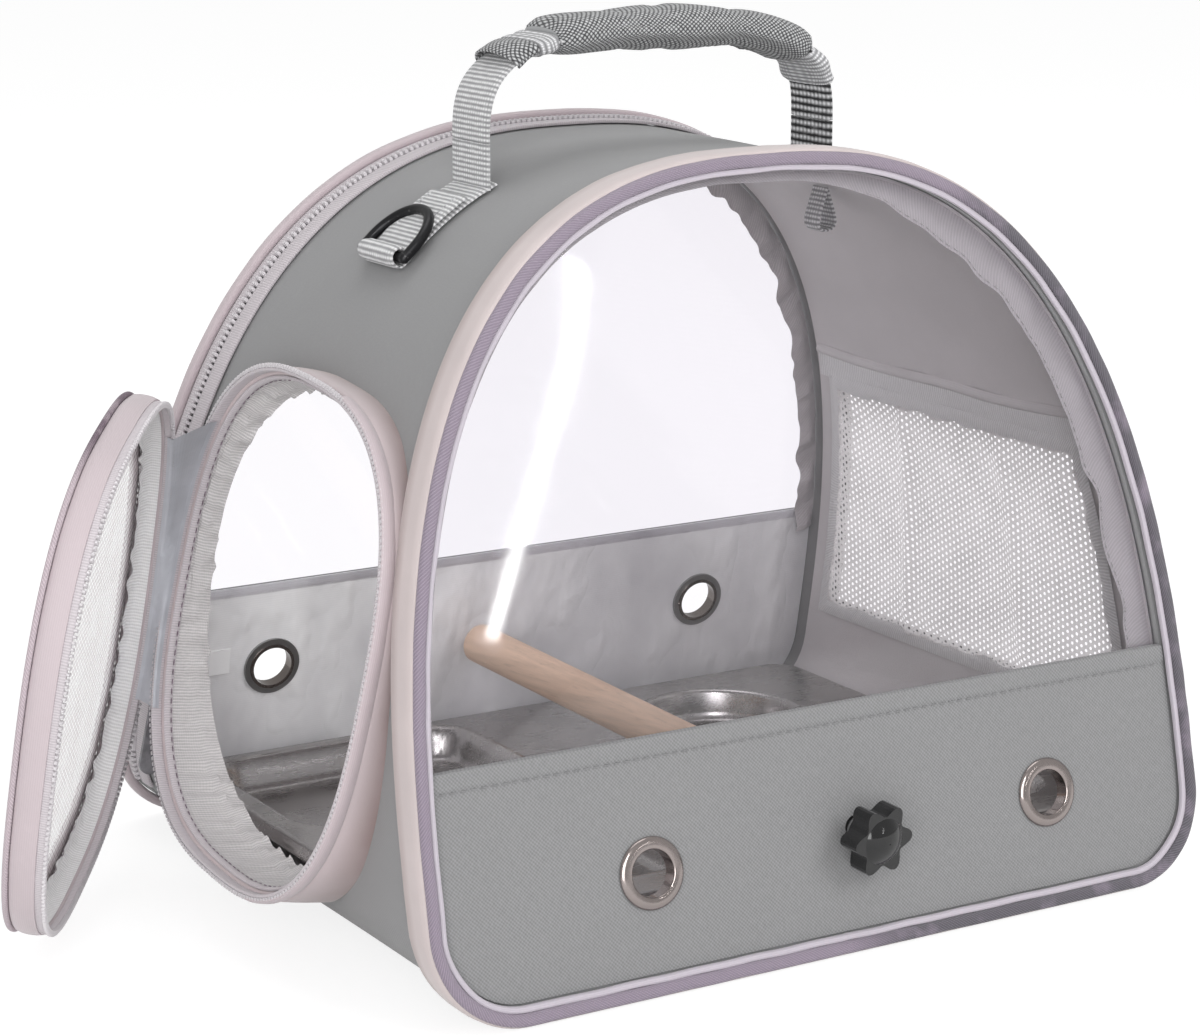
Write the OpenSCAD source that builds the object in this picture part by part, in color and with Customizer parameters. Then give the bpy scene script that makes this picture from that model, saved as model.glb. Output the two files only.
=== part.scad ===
/* [Body] */
// Width over the front piping
body_w = 310; // [280:1:340]
// Height over the top piping
body_h = 262; // [240:1:285]
// Depth at the base, over the front and back faces
body_d = 258; // [236:1:280]
// Set-back of the front and back faces at the top
face_setback = 55; // [45:1:65]
// Radius of the two bottom corners
corner_r = 33; // [28:1:38]
// Exponent of the arch, higher is squarer
arch_power = 2.57; // [2.3:0.01:2.9]
// How far the grey cover lies inside the piping
cover_inset = 4; // [3:0.5:5]
// Thickness of the grey padded cover
cover_t = 3; // [2:0.5:4]
// Thickness of the satin lining
lining_t = 1; // [0.8:0.1:1.5]
// Thickness of the stiff base board
board_t = 2; // [1.5:0.5:3]
/* [Front] */
// Width of the woven binding seen from the front
binding_w = 6.7; // [6.7:0.1:9]
// Depth of the woven binding
binding_depth = 5; // [4:0.5:5]
// How far the smooth piping runs back behind the front face
piping_back = 15; // [12:0.5:18]
// Height of the lower front panel
front_panel_h = 81.4; // [76:0.2:90]
// Thickness of the front and back panels
panel_t = 2.5; // [2:0.5:3]
// Thickness of the clear window sheets
window_t = 0.8; // [0.6:0.1:1]
// How far the window tucks down behind the lower panel
window_tuck = 6; // [4:0.5:9]
// Width of the gathered ribbon inside the front rim
ribbon_w = 10; // [8:0.5:12]
// Shift of the front fittings to the right of the middle
fitting_shift = 9; // [0:0.5:12]
// Distance between the two front eyelets
front_eyelet_gap = 161; // [140:1:176]
// Height of the front eyelets
front_eyelet_z = 39; // [34:0.5:48]
/* [Eyelets] */
// Radius of the hole through an eyelet
eyelet_hole_r = 7.75; // [6.5:0.05:9]
// Radius of the eyelet flange
eyelet_r = 12; // [11.5:0.1:13]
// Thickness of the eyelet flange
eyelet_t = 1.4; // [1:0.1:2]
// Wall of the eyelet barrel
eyelet_wall = 0.6; // [0.4:0.1:0.8]
/* [Back door] */
// Depth of the back door's zipped gusset
gusset_d = 12; // [10:0.5:14]
// Width of the body-side zip tape
tape_w = 8.6; // [7:0.2:10]
// Height of the lower back panel
back_panel_h = 89; // [80:1:96]
// Distance of each back eyelet in from the side of the body
back_eyelet_in = 60; // [55:1:70]
// Height of the back eyelets
back_eyelet_z = 56; // [48:0.5:64]
// Width of the blank care label
label_w = 12; // [8:0.5:14]
// Height of the blank care label
label_h = 10; // [8:0.5:14]
/* [Side door] */
// Half length of the door ring, front to back
ring_a = 76; // [70:0.5:78]
// Half height of the door ring
ring_b = 85.8; // [80:0.2:88]
// Exponent of the door outline
ring_power = 2.7; // [2.4:0.1:3.2]
// Height of the middle of the door ring
ring_z = 104.6; // [102:0.2:110]
// Middle of the door ring ahead of the body's middle
ring_ahead = 11; // [6:0.5:14]
// Inward lean of the door ring
ring_lean = 11.6; // [10:0.2:13]
// Turn of the ring in its own plane
ring_turn = -3.5; // [-5:0.5:0]
// Thickness of the ring's fabric
ring_t = 3; // [2:0.5:4]
// How far the ring's seam stands off the wall plane
ring_proud = 11.6; // [10:0.2:13]
// Width of the wall left between the ring and the doorway
doorway_inset = 5; // [5:0.5:8]
// Depth of the door pan
door_depth = 13.2; // [11:0.2:15]
// Thickness of the door's fabric
door_t = 2; // [1.5:0.5:2.5]
// Width of the smooth border round the door net
door_border_w = 14; // [10:0.5:18]
// Opening angle of the door as it stands
door_open = 36.9; // [20:0.1:50]
// Outward lean of the fabric hinge line
hinge_lean = 23.3; // [18:0.1:25]
/* [Nets] */
// Thickness of a net
net_t = 0.8; // [0.6:0.1:1]
// Gaps of the door net, front to back
door_net_cols = 9; // [7:1:12]
// Gaps of the door net, bottom to top
door_net_rows = 11; // [8:1:14]
// Distance of the mesh window behind the front face
mesh_front = 27; // [24:1:50]
// Distance of the mesh window ahead of the back face
mesh_back = 25; // [24:1:50]
// Height of the mesh window
mesh_h = 93; // [80:1:96]
// Lower edge of the mesh window
mesh_z = 52; // [46:1:58]
// Gaps of the window net, front to back
mesh_cols = 13; // [9:1:16]
// Gaps of the window net, bottom to top
mesh_rows = 7; // [5:1:9]
/* [Handle] */
// Width of the webbing
web_w = 25; // [20:1:30]
// Thickness of the webbing
web_t = 1.6; // [1.2:0.1:2]
// Distance between the two feet of the handle
handle_span = 139; // [125:1:150]
// Height of the webbing arch above its fold line
handle_rise = 42; // [36:1:50]
// Exponent of the webbing arch
handle_power = 3; // [2.4:0.1:3.6]
// Length of the padded grip
grip_l = 102; // [80:1:104]
// Shift of the grip to the right of the middle
grip_shift = 9; // [0:0.5:10]
// Width of the padded grip
grip_w = 32; // [31:0.5:38]
// Thickness of the padded grip
grip_t = 13; // [10:0.5:15]
// Radius of the D-ring wire
d_wire_r = 1.8; // [1.5:0.1:2]
// Radius of the D-ring bend, at the middle of the wire
d_ring_r = 15; // [14.8:0.1:17]
/* [Perch and knob] */
// Radius of the wooden perch
perch_r = 7.5; // [6:0.25:8]
// Length of the perch
perch_l = 218; // [180:1:220]
// Rise of the perch towards the back
perch_rise = 3.6; // [2:0.1:4]
// Turn of the perch to the left
perch_turn = 5; // [0:0.5:5.5]
// Height of the knob
knob_z = 40; // [37:0.5:44]
// Radius of the bolt
bolt_r = 2.5; // [2:0.1:3]
// Mean radius of the star knob
knob_r = 10.4; // [9.5:0.1:11]
// Height of the lobes' wave
knob_lobe = 1.9; // [1.2:0.1:2]
// Thickness of the star
knob_t = 8; // [7:0.5:9]
/* [Tray and cup] */
// Room beside the steel tray, out to the piping
tray_room = 16; // [14:0.5:24]
// Depth of the steel tray
tray_d = 214; // [195:1:216]
// Thickness of the steel
steel_t = 0.8; // [0.6:0.1:1]
// Depth of the pressed wells
well_depth = 13; // [10:0.5:14]
// Radius of the food cup
cup_r = 32; // [26:0.5:33]
/* [Hidden] */
// Clearance between neighbouring layers
gap = 0.3;
// Running clearance of pieces that move
run_gap = 0.1;
arch_steps = 44;
corner_steps = 7;
oval_steps = 52;
lean = atan(face_setback / body_h);
wall_in = cover_inset + cover_t;
lining_in = wall_in + gap;
inner_in = lining_in + lining_t;
floor_z = inner_in + gap;
board_top = floor_z + board_t;
flat_half = body_w / 2 - corner_r;
wide = body_w * 2;
binding_front = -2;
binding_back = binding_front + binding_depth;
cover_front = binding_back + gap;
panel_front = 2;
window_front = panel_front + panel_t + gap;
lining_front = window_front + window_t + 0.7;
panel_in = gap + binding_w + gap;
zip_z = 18;
zip_gap = 0.4;
teeth_w = 1.2;
tape_t = 1.2;
back_seam = gusset_d + zip_gap;
eyelet_barrel_r = eyelet_hole_r + eyelet_wall;
eyelet_seat_r = eyelet_barrel_r + gap;
panel_n = panel_t * cos(lean);
washer_t = 1;
label_t = 0.5;
label_in = 36.5;
back_eyelet_gap = body_w - 2 * back_eyelet_in;
ribbon_layer = 1.6;
// Gap between faces that lie on each other
seat_gap = 0.05;
// Ring frame: x runs forwards, y up and z out of the left wall
ring_x = -(body_w / 2 - 8.8);
hinge_off = ring_a + 1.66;
hinge_back = 5.1;
closed_gap = 0.3;
rim_n = ring_proud - closed_gap / 2;
zip_tape_h = 2.6;
zip_teeth_h = 1.1;
ring_top_n = rim_n - zip_teeth_h - zip_tape_h;
door_rim_n = ring_proud + closed_gap / 2;
door_wall_n = door_rim_n + zip_teeth_h + zip_tape_h;
door_face_n = ring_proud + door_depth;
strip_l = 70;
// Sliders and pulls; the side door's slider is parked where the hinge strip ends
slider_v = -44;
slider_u = -ring_a * pow(1 - pow(abs(slider_v) / ring_b, ring_power), 1 / ring_power);
slider_turn = 19;
slider_n = 3.8;
slider_l = 11;
slider_w = 7;
slider_t = 3.4;
slider_off = slider_t + 0.9;
ear_t = 1.2;
ear_l = 3;
pull_l = 28;
pull_w = 9;
pull_t = 1.5;
ear_span = pull_w + 2.8;
back_slider_t = slider_t - 0.6;
back_ear_span = ear_span + 1.6;
// Net and border of the mesh window
mesh_edge = 5;
mesh_in = inner_in + gap;
mesh_x0 = arch_x(mesh_z - mesh_edge, mesh_in);
mesh_x1 = arch_x(mesh_z + mesh_h + mesh_edge, mesh_in);
mesh_lean = atan((mesh_x0 - mesh_x1) / (mesh_h + 2 * mesh_edge));
mesh_fill = 0.78;
// Handle and its webbing
fold_z = body_h - 7;
neck_top = 7;
web_foot = handle_span / 2;
strap_low = 31;
strap_in = cover_inset - gap;
band_l = 8;
loop_gap = 0.35;
loop_r = d_wire_r + loop_gap + web_t;
loop_x = web_foot + strap_low + 2.8;
loop_in = strap_in - loop_r;
d_leg = 5;
// Lie of a D-ring, up the slope and just clear of the strap
d_slope = atan2(arch_z(web_foot + 10, 0) - arch_z(loop_x, 0), loop_x - web_foot - 10) + 4.2;
// Perch: local z runs along the perch into the cabin
knob_tilt = lean + perch_rise;
panel_along = panel_t / cos(knob_tilt);
washer_r = 6;
washer_lift = washer_r * tan(knob_tilt) + gap;
perch_start = panel_along + washer_lift + washer_t + run_gap;
bolt_in = 26;
bolt_out = 13;
knob_start = washer_lift + washer_t + 2 * run_gap;
hub_l = 3;
insert_wall = 1.6;
insert_l = 9;
// Tray
tray_w = body_w - 2 * tray_room;
tray_z = board_top + gap + well_depth + steel_t;
tray_back = 5;
well_r = 16;
well_wall = 1;
// Edges of the wells from left to right and from front to back, in the tray's frame
well_u = [[-tray_w / 2 + 11, -22], [12, tray_w / 2 - 11]];
well_v = [[-tray_d / 2 + 20, 1], [11, tray_d / 2 - 8]];
// Wells of the tray as [x, y, w, d]; the cup takes the place of the fourth
wells = [for (c = [[0, 1], [0, 0], [1, 0]]) let (u = well_u[c[0]], v = well_v[c[1]])
    [(u[0] + u[1]) / 2, (v[0] + v[1]) / 2, u[1] - u[0], v[1] - v[0]]];
cup_hole_r = cup_r + 1;
cup_x = (well_u[1][0] + well_u[1][1]) / 2 - 1;
cup_y = tray_d / 2 - 55;
rim_r = cup_r + 3.5;
tray_lip = 4;
tray_corner = 14;
// Toy loop under the ceiling
loop_at = 74;
loop_w = 9;
loop_l = 22;
loop_span = 15;
loop_t = 2;
// Layers of the side door: border, net, ribbon, piping, and the insets of tape and teeth
border_t = 1.2;
border_in = 2.4;
net_n = door_face_n - border_t - gap - net_t;
door_ribbon_w = 6;
door_ribbon_t = 1.4;
door_ribbon_n = net_n - gap - door_ribbon_t;
piping_out = 0.6;
piping_in = 2.1;
ring_tape_in = 0.6;
ring_teeth_in = 0.2;
ring_teeth_t = 2;
ribbon_t = 1.2;
// Star knob
lobes = 6;
star_hub_r = washer_r + 0.5;
dome_r = 12;
dome_sink = 9;

function sgn_pow(v, p) = sign(v) * pow(abs(v), p);
// Half width of the arch at a height, for an outline drawn in by i
function arch_x(z, i) = (body_w / 2 - i)
    * pow(1 - pow(max(z - corner_r, 0) / (body_h - corner_r - i), arch_power), 1 / arch_power);
// Height of the arch at a distance from the middle
function arch_z(x, i) = corner_r + (body_h - corner_r - i)
    * pow(1 - pow(abs(x) / (body_w / 2 - i), arch_power), 1 / arch_power);
function arch(i) = concat(
    [for (k = [0 : corner_steps]) let (t = -90 + 90 * k / corner_steps)
        [flat_half + (corner_r - i) * cos(t), corner_r + (corner_r - i) * sin(t)]],
    [for (k = [1 : arch_steps - 1]) let (t = 180 * k / arch_steps)
        [(body_w / 2 - i) * sgn_pow(cos(t), 2 / arch_power),
         corner_r + (body_h - corner_r - i) * sgn_pow(sin(t), 2 / arch_power)]],
    [for (k = [0 : corner_steps]) let (t = 180 + 90 * k / corner_steps)
        [-flat_half + (corner_r - i) * cos(t), corner_r + (corner_r - i) * sin(t)]]);
function oval(i) = [for (k = [0 : oval_steps - 1]) let (t = 360 * k / oval_steps)
    [(ring_a - i) * sgn_pow(cos(t), 2 / ring_power), (ring_b - i) * sgn_pow(sin(t), 2 / ring_power)]];
function round_rect(w, d, r) = [for (q = [0 : 3], k = [0 : 6]) let (t = 90 * q + 15 * k)
    [(q == 0 || q == 3 ? 1 : -1) * (w / 2 - r) + r * cos(t), (q < 2 ? 1 : -1) * (d / 2 - r) + r * sin(t)]];
// y of the leaning front face at a height
function face_y(z) = -body_d / 2 + face_setback * z / body_h;

// Everything between two planes parallel to the front face, at y0 and y1 behind it
module front_slab(y0, y1) {
    rotate([90, 0, 90]) linear_extrude(height = wide, center = true)
        polygon([[face_y(-20) + y0, -20], [face_y(-20) + y1, -20],
            [face_y(body_h + 20) + y1, body_h + 20], [face_y(body_h + 20) + y0, body_h + 20]]);
}
// The same, ahead of the back face
module back_slab(y0, y1) { mirror([0, 1, 0]) front_slab(y0, y1); }
// Everything between y0 behind the front face and y1 ahead of the back face
module body_slab(y0, y1) {
    rotate([90, 0, 90]) linear_extrude(height = wide, center = true)
        polygon([[face_y(-20) + y0, -20], [-face_y(-20) - y1, -20],
            [-face_y(body_h + 20) - y1, body_h + 20], [face_y(body_h + 20) + y0, body_h + 20]]);
}
module arch_solid(i) {
    rotate([90, 0, 0]) linear_extrude(height = body_d * 2, center = true) polygon(arch(i));
}
module arch_band(i0, i1) {
    rotate([90, 0, 0]) linear_extrude(height = body_d * 2, center = true)
        difference() { polygon(arch(i0)); polygon(arch(i1)); }
}
module above(z) { translate([-wide / 2, -wide / 2, z]) cube([wide, wide, body_h * 2]); }
module below(z) { translate([-wide / 2, -wide / 2, z - body_h * 2]) cube([wide, wide, body_h * 2]); }
// Places children on the front face: local z points out of the face
module on_front(x, z, y) {
    translate([x, face_y(z) + y, z]) rotate([90 - lean, 0, 0]) children();
}
// Ring frame of the side door
module ring_frame() {
    translate([ring_x, -ring_ahead, ring_z]) rotate([0, ring_lean, 0]) rotate([90, 0, -90])
        rotate([0, 0, ring_turn]) children();
}
// Direction of the fabric hinge line in the ring frame
hinge_dir = [-sin(hinge_back - ring_turn), cos(hinge_back - ring_turn), tan(hinge_lean)];
// Swings children, drawn on the closed door, open about the hinge line
module swung() {
    ring_frame() translate([-hinge_off, 0, ring_proud]) rotate(a = -door_open, v = hinge_dir)
        translate([hinge_off, 0, -ring_proud]) children();
}
module oval_band(i0, i1, n0, n1) {
    translate([0, 0, n0]) linear_extrude(height = n1 - n0)
        difference() { polygon(oval(i0)); polygon(oval(i1)); }
}
module doorway() {
    ring_frame() translate([0, 0, -60]) linear_extrude(height = 90) polygon(oval(doorway_inset));
}

// Flat net: a sheet with square gaps kept inside a closed outline
module net(outline, holes) {
    n = len(outline);
    linear_extrude(height = net_t)
        polygon(points = concat(outline, [for (h = holes, p = h) p]),
            paths = concat([[for (k = [0 : n - 1]) k]],
                [for (j = [0 : len(holes) - 1]) [for (k = [0 : 3]) n + 4 * j + k]]));
}
function square_at(x, y, w, h) = [[x - w / 2, y - h / 2], [x + w / 2, y - h / 2],
    [x + w / 2, y + h / 2], [x - w / 2, y + h / 2]];

module base_cover() {
    color([0.45, 0.43, 0.48])
        translate([0, (piping_back - back_seam) / 2, 0]) linear_extrude(height = cover_inset - gap)
            polygon(round_rect(2 * flat_half - 2 * gap, body_d - piping_back - back_seam - 3, 12));
}
module base_board() {
    color([0.30, 0.30, 0.32]) translate([0, 0, floor_z]) linear_extrude(height = board_t)
        polygon(round_rect(2 * flat_half - 2 * gap, body_d - 2 * (gusset_d + 8), 10));
}
// Front and back ends of the mesh window at a height
function mesh_y0(z) = face_y(z) + mesh_front;
function mesh_y1(z) = -face_y(z) - mesh_back;
// Corners of the mesh window, grown by e, with heights taken from z_from and divided by s
function mesh_outline(e, z_from, s) = [for (c = [[0, 0], [1, 0], [1, 1], [0, 1]])
    let (z = mesh_z + (c[1] == 0 ? -e : mesh_h + e))
        [c[0] == 0 ? mesh_y0(z) - e : mesh_y1(z) + e, (z - z_from) / s]];
module mesh_hole() {
    translate([body_w / 4, 0, 0]) rotate([90, 0, 90]) linear_extrude(height = body_w / 2)
        polygon(mesh_outline(0, 0, 1));
}
module body_wrap() {
    color([0.58, 0.58, 0.59]) difference() {
        intersection() { arch_band(cover_inset, wall_in); body_slab(cover_front, back_seam); }
        doorway();
        mesh_hole();
    }
}
module body_lining() {
    color([0.76, 0.76, 0.80]) difference() {
        intersection() { arch_band(lining_in, inner_in); body_slab(lining_front, back_seam); }
        doorway();
        mesh_hole();
    }
}
module front_piping() {
    color([0.87, 0.82, 0.82]) intersection() {
        arch_band(0, cover_inset - gap);
        front_slab(cover_front, piping_back);
    }
}
module front_binding() {
    color([0.52, 0.48, 0.56]) intersection() {
        arch_band(gap, gap + binding_w);
        front_slab(binding_front, binding_back);
    }
}
module front_ribbon() {
    color([0.80, 0.79, 0.79]) intersection() {
        arch_band(inner_in + gap, inner_in + gap + ribbon_w);
        front_slab(lining_front, lining_front + ribbon_layer);
        above(front_panel_h - window_tuck);
    }
}
module eyelet_cuts(span, shift, z, y) {
    for (s = [-1, 1]) on_front(shift + s * span / 2, z, y)
        cylinder(r = eyelet_seat_r, h = 30, center = true, $fn = 40);
}
// Eyelets pressed through a panel, with the flange on the outer side
module eyelet_pair(span, shift, z, y) {
    color([0.42, 0.40, 0.40]) for (s = [-1, 1]) on_front(shift + s * span / 2, z, y)
        rotate_extrude($fn = 40) polygon([[eyelet_hole_r, -panel_n - washer_t - 0.4],
            [eyelet_barrel_r, -panel_n - washer_t - 0.4], [eyelet_barrel_r, 0], [eyelet_r, 0],
            [eyelet_r - 0.3, eyelet_t * 0.6], [eyelet_r - 1.6, eyelet_t],
            [eyelet_hole_r + 1.2, eyelet_t], [eyelet_hole_r, eyelet_t * 0.5]]);
}
module washer_pair(span, shift, z, y) {
    color([0.50, 0.49, 0.48]) for (s = [-1, 1]) on_front(shift + s * span / 2, z, y)
        translate([0, 0, -panel_n - washer_t - seat_gap]) difference() {
            cylinder(r = eyelet_r - 0.8, h = washer_t, $fn = 40);
            cylinder(r = eyelet_seat_r, h = 5 * washer_t, center = true, $fn = 40);
        }
}
module front_panel() {
    color([0.58, 0.58, 0.59]) difference() {
        intersection() {
            arch_solid(panel_in);
            front_slab(panel_front, panel_front + panel_t);
            below(front_panel_h);
        }
        eyelet_cuts(front_eyelet_gap, fitting_shift, front_eyelet_z, panel_front);
        perch_frame() cylinder(r = bolt_r + 0.8, h = 30, center = true, $fn = 32);
    }
}
module front_window() {
    color([0.9, 0.93, 0.95, 0.35]) intersection() {
        arch_solid(panel_in);
        front_slab(window_front, window_front + window_t);
        above(front_panel_h - window_tuck);
    }
}
module front_eyelets() { eyelet_pair(front_eyelet_gap, fitting_shift, front_eyelet_z, panel_front); }
module front_eyelet_washers() {
    washer_pair(front_eyelet_gap, fitting_shift, front_eyelet_z, panel_front);
}
// Frame of the window net: x runs back, y up the wall and z inwards
module mesh_frame(lift) {
    translate([mesh_x0, 0, mesh_z - mesh_edge]) rotate([0, -mesh_lean, 0]) rotate([90, 0, 90])
        mirror([0, 0, 1]) translate([0, 0, lift]) children();
}
function mesh_plate(e) = mesh_outline(e, mesh_z - mesh_edge, cos(mesh_lean));
module side_mesh() {
    pitch_z = (mesh_h - 4) / mesh_rows;
    color([0.92, 0.91, 0.91]) mesh_frame(0) net(mesh_plate(mesh_edge),
        [for (j = [0 : mesh_rows - 1], i = [0 : mesh_cols - 1])
            let (z = mesh_z + 2 + (j + 0.5) * pitch_z,
                pitch_y = (mesh_y1(z) - mesh_y0(z) - 4) / mesh_cols)
                square_at(mesh_y0(z) + 2 + (i + 0.5) * pitch_y, (z - mesh_z + mesh_edge) / cos(mesh_lean),
                    pitch_y * mesh_fill, pitch_z * mesh_fill)]);
}
module side_mesh_border() {
    color([0.66, 0.65, 0.67]) mesh_frame(net_t + 0.2) linear_extrude(height = 1) difference() {
        polygon(mesh_plate(mesh_edge));
        polygon(mesh_plate(0));
    }
}
module back_zip_tape() {
    color([0.74, 0.72, 0.73]) intersection() {
        arch_band(cover_inset - gap - tape_t, cover_inset - gap);
        back_slab(back_seam + teeth_w + gap, back_seam + teeth_w + gap + tape_w);
        above(zip_z);
    }
}
module back_zip_teeth() {
    color([0.88, 0.86, 0.87]) intersection() {
        arch_band(cover_inset - gap - 2 * tape_t, cover_inset - gap);
        back_slab(back_seam, back_seam + teeth_w);
        above(zip_z);
    }
}
module toy_loop() {
    loop_z = arch_z(loop_at, inner_in + gap);
    color([0.60, 0.60, 0.61]) intersection() {
        translate([loop_at, 0, loop_z - 5]) rotate([90, 0, 0]) linear_extrude(height = loop_w, center = true)
            difference() {
                polygon(round_rect(loop_span, loop_l, 6));
                polygon(round_rect(loop_span - 2 * loop_t, loop_l - 3 * loop_t, 4));
            }
        arch_solid(inner_in + gap);
    }
}
module strap(s) {
    color([0.74, 0.74, 0.75]) mirror([s > 0 ? 0 : 1, 0, 0]) rotate([90, 0, 0]) {
        linear_extrude(height = web_w, center = true) intersection() {
            difference() { polygon(arch(strap_in - web_t)); polygon(arch(strap_in)); }
            translate([web_foot - 2, corner_r]) square([strap_low + 2, body_h]);
        }
        translate([loop_x, arch_z(loop_x, loop_in), 0]) linear_extrude(height = web_w, center = true)
            difference() {
                circle(r = loop_r, $fn = 32);
                circle(r = loop_r - web_t, $fn = 32);
            }
    }
}
module strap_left() { strap(-1); }
module strap_right() { strap(1); }
module handle_neck(s) {
    foot = arch_z(web_foot, strap_in - web_t) + gap;
    color([0.74, 0.74, 0.75]) translate([s * web_foot - web_t / 2, -web_w / 2, foot])
        cube([web_t, web_w, fold_z + neck_top - gap - foot]);
}
module handle_neck_left() { handle_neck(-1); }
module handle_neck_right() { handle_neck(1); }
// Upper side of the webbing arch, raised by e, as a closed outline
function handle_arch(e) = concat([for (k = [0 : 40]) let (t = 180 * k / 40)
    [(web_foot + e) * sgn_pow(cos(t), 2 / handle_power),
     fold_z + neck_top + (handle_rise - neck_top + e) * sgn_pow(sin(t), 2 / handle_power)]]);
module handle_band(e0, e1, x0, x1, w) {
    rotate([90, 0, 0]) linear_extrude(height = w, center = true) intersection() {
        difference() { polygon(handle_arch(e1)); polygon(handle_arch(e0)); }
        translate([x0, fold_z + neck_top]) square([x1 - x0, handle_rise * 2]);
    }
}
module handle_web() {
    color([0.74, 0.74, 0.75]) handle_band(-web_t / 2, web_t / 2, -wide / 2, wide / 2, web_w);
}
module handle_grip() {
    x0 = grip_shift - grip_l / 2;
    x1 = grip_shift + grip_l / 2;
    color([0.52, 0.52, 0.53]) difference() {
        union() {
            handle_band(-grip_t * 0.32, grip_t * 0.32, x0, x1, grip_w);
            handle_band(-grip_t * 0.5, grip_t * 0.5, x0, x1, grip_w * 0.74);
        }
        handle_band(-web_t / 2 - 0.15, web_t / 2 + 0.15, -wide / 2, wide / 2, web_w + 0.6);
    }
}
module grip_bands() {
    color([0.84, 0.84, 0.85]) difference() {
        for (x = [grip_shift - grip_l / 2 - band_l - gap, grip_shift + grip_l / 2 + gap])
            handle_band(-web_t / 2 - 2, web_t / 2 + 2, x, x + band_l, web_w + 4);
        handle_band(-web_t / 2 - 0.15, web_t / 2 + 0.15, -wide / 2, wide / 2, web_w + 0.6);
    }
}
module d_ring() {
    color([0.10, 0.10, 0.11]) translate([loop_x, 0, arch_z(loop_x, loop_in)]) rotate([0, d_slope, 0])
        mirror([1, 0, 0]) {
            rotate([90, 0, 0]) cylinder(r = d_wire_r, h = 2 * d_ring_r, center = true, $fn = 24);
            for (s = [-1, 1]) translate([0, s * d_ring_r, 0]) {
                sphere(r = d_wire_r, $fn = 24);
                rotate([0, 90, 0]) cylinder(r = d_wire_r, h = d_leg, $fn = 24);
            }
            translate([d_leg, 0, 0]) rotate([0, 0, -90]) rotate_extrude(angle = 180, $fn = 40)
                translate([d_ring_r, 0]) circle(r = d_wire_r, $fn = 24);
        }
}
module d_ring_left() { mirror([1, 0, 0]) d_ring(); }
module d_ring_right() { d_ring(); }

module door_ring() {
    color([0.85, 0.80, 0.80]) difference() {
        ring_frame() oval_band(0, ring_t, -40, ring_top_n);
        arch_solid(cover_inset - gap);
        intersection() {
            arch_solid(-gap);
            front_slab(binding_front, piping_back + gap);
        }
    }
}
module ring_ribbon() {
    color([0.78, 0.77, 0.77]) difference() {
        ring_frame() oval_band(ring_t + gap, ring_t + gap + ribbon_t, -40, ring_top_n);
        arch_solid(cover_inset - gap);
    }
}
module ring_zip_tape() {
    color([0.72, 0.69, 0.71]) ring_frame()
        oval_band(ring_tape_in, ring_tape_in + tape_t, ring_top_n, rim_n - zip_teeth_h);
}
module ring_zip_teeth() {
    color([0.82, 0.80, 0.81]) ring_frame()
        oval_band(ring_teeth_in, ring_teeth_in + ring_teeth_t, rim_n - zip_teeth_h, rim_n);
}
module door_hinge_strip() {
    color([0.62, 0.62, 0.65]) ring_frame() translate([-ring_a - gap - 1, 0, ring_top_n - 3]) {
        translate([0, -strip_l / 2, 0]) cube([1, strip_l, 4]);
        translate([0, -3, 0]) cube([1, 9, rim_n + 0.6 - ring_top_n + 3]);
    }
}
module door_gusset() {
    color([0.86, 0.81, 0.82]) swung()
        oval_band(0, door_t, door_wall_n, door_face_n - border_t);
}
module door_net() {
    half = door_t + gap;
    pitch_x = 2 * (ring_a - door_border_w) / door_net_cols;
    pitch_y = 2 * (ring_b - door_border_w) / door_net_rows;
    color([0.93, 0.90, 0.91]) swung() translate([0, 0, net_n])
        net(oval(half), [for (i = [0 : door_net_cols - 1], j = [0 : door_net_rows - 1])
            let (x = (i + 0.5 - door_net_cols / 2) * pitch_x, y = (j + 0.5 - door_net_rows / 2) * pitch_y)
                if (pow((abs(x) + pitch_x / 2) / (ring_a - 5), ring_power)
                    + pow((abs(y) + pitch_y / 2) / (ring_b - 5), ring_power) < 1)
                    square_at(x, y, pitch_x * 0.76, pitch_y * 0.76)]);
}
module door_border() {
    color([0.87, 0.82, 0.83]) swung()
        oval_band(border_in, door_border_w, door_face_n - border_t, door_face_n);
}
module door_piping() {
    color([0.45, 0.38, 0.43]) swung()
        oval_band(-piping_out, piping_in, door_face_n - border_t + run_gap, door_face_n + border_t);
}
module door_ribbon() {
    color([0.78, 0.77, 0.77]) swung()
        oval_band(door_t + gap, door_t + gap + door_ribbon_w, door_ribbon_n, door_ribbon_n + door_ribbon_t);
}
module door_zip_tape() {
    color([0.72, 0.69, 0.71]) swung()
        oval_band(ring_tape_in, ring_tape_in + tape_t, door_rim_n + zip_teeth_h, door_wall_n);
}
module door_zip_teeth() {
    color([0.82, 0.80, 0.81]) swung()
        oval_band(ring_teeth_in, ring_teeth_in + ring_teeth_t, door_rim_n, door_rim_n + zip_teeth_h);
}
module slider_frame() {
    ring_frame() translate([slider_u, slider_v, slider_n]) rotate([0, 0, slider_turn]) children();
}
module door_zip_slider() {
    color([0.55, 0.54, 0.55]) slider_frame() translate([-slider_off, 0, 0]) {
        translate([0, -slider_l / 2, -slider_w / 2]) cube([slider_t, slider_l, slider_w]);
        translate([0, -slider_l / 2 + 2, 0]) {
            translate([0, 0, -ear_span / 2]) cube([ear_t, ear_l, ear_span]);
            for (e = [-1, 1]) translate([-1, 0, e * (ear_span - ear_t) / 2 - ear_t / 2])
                cube([1 + ear_t, ear_l, ear_t]);
        }
    }
}
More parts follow.
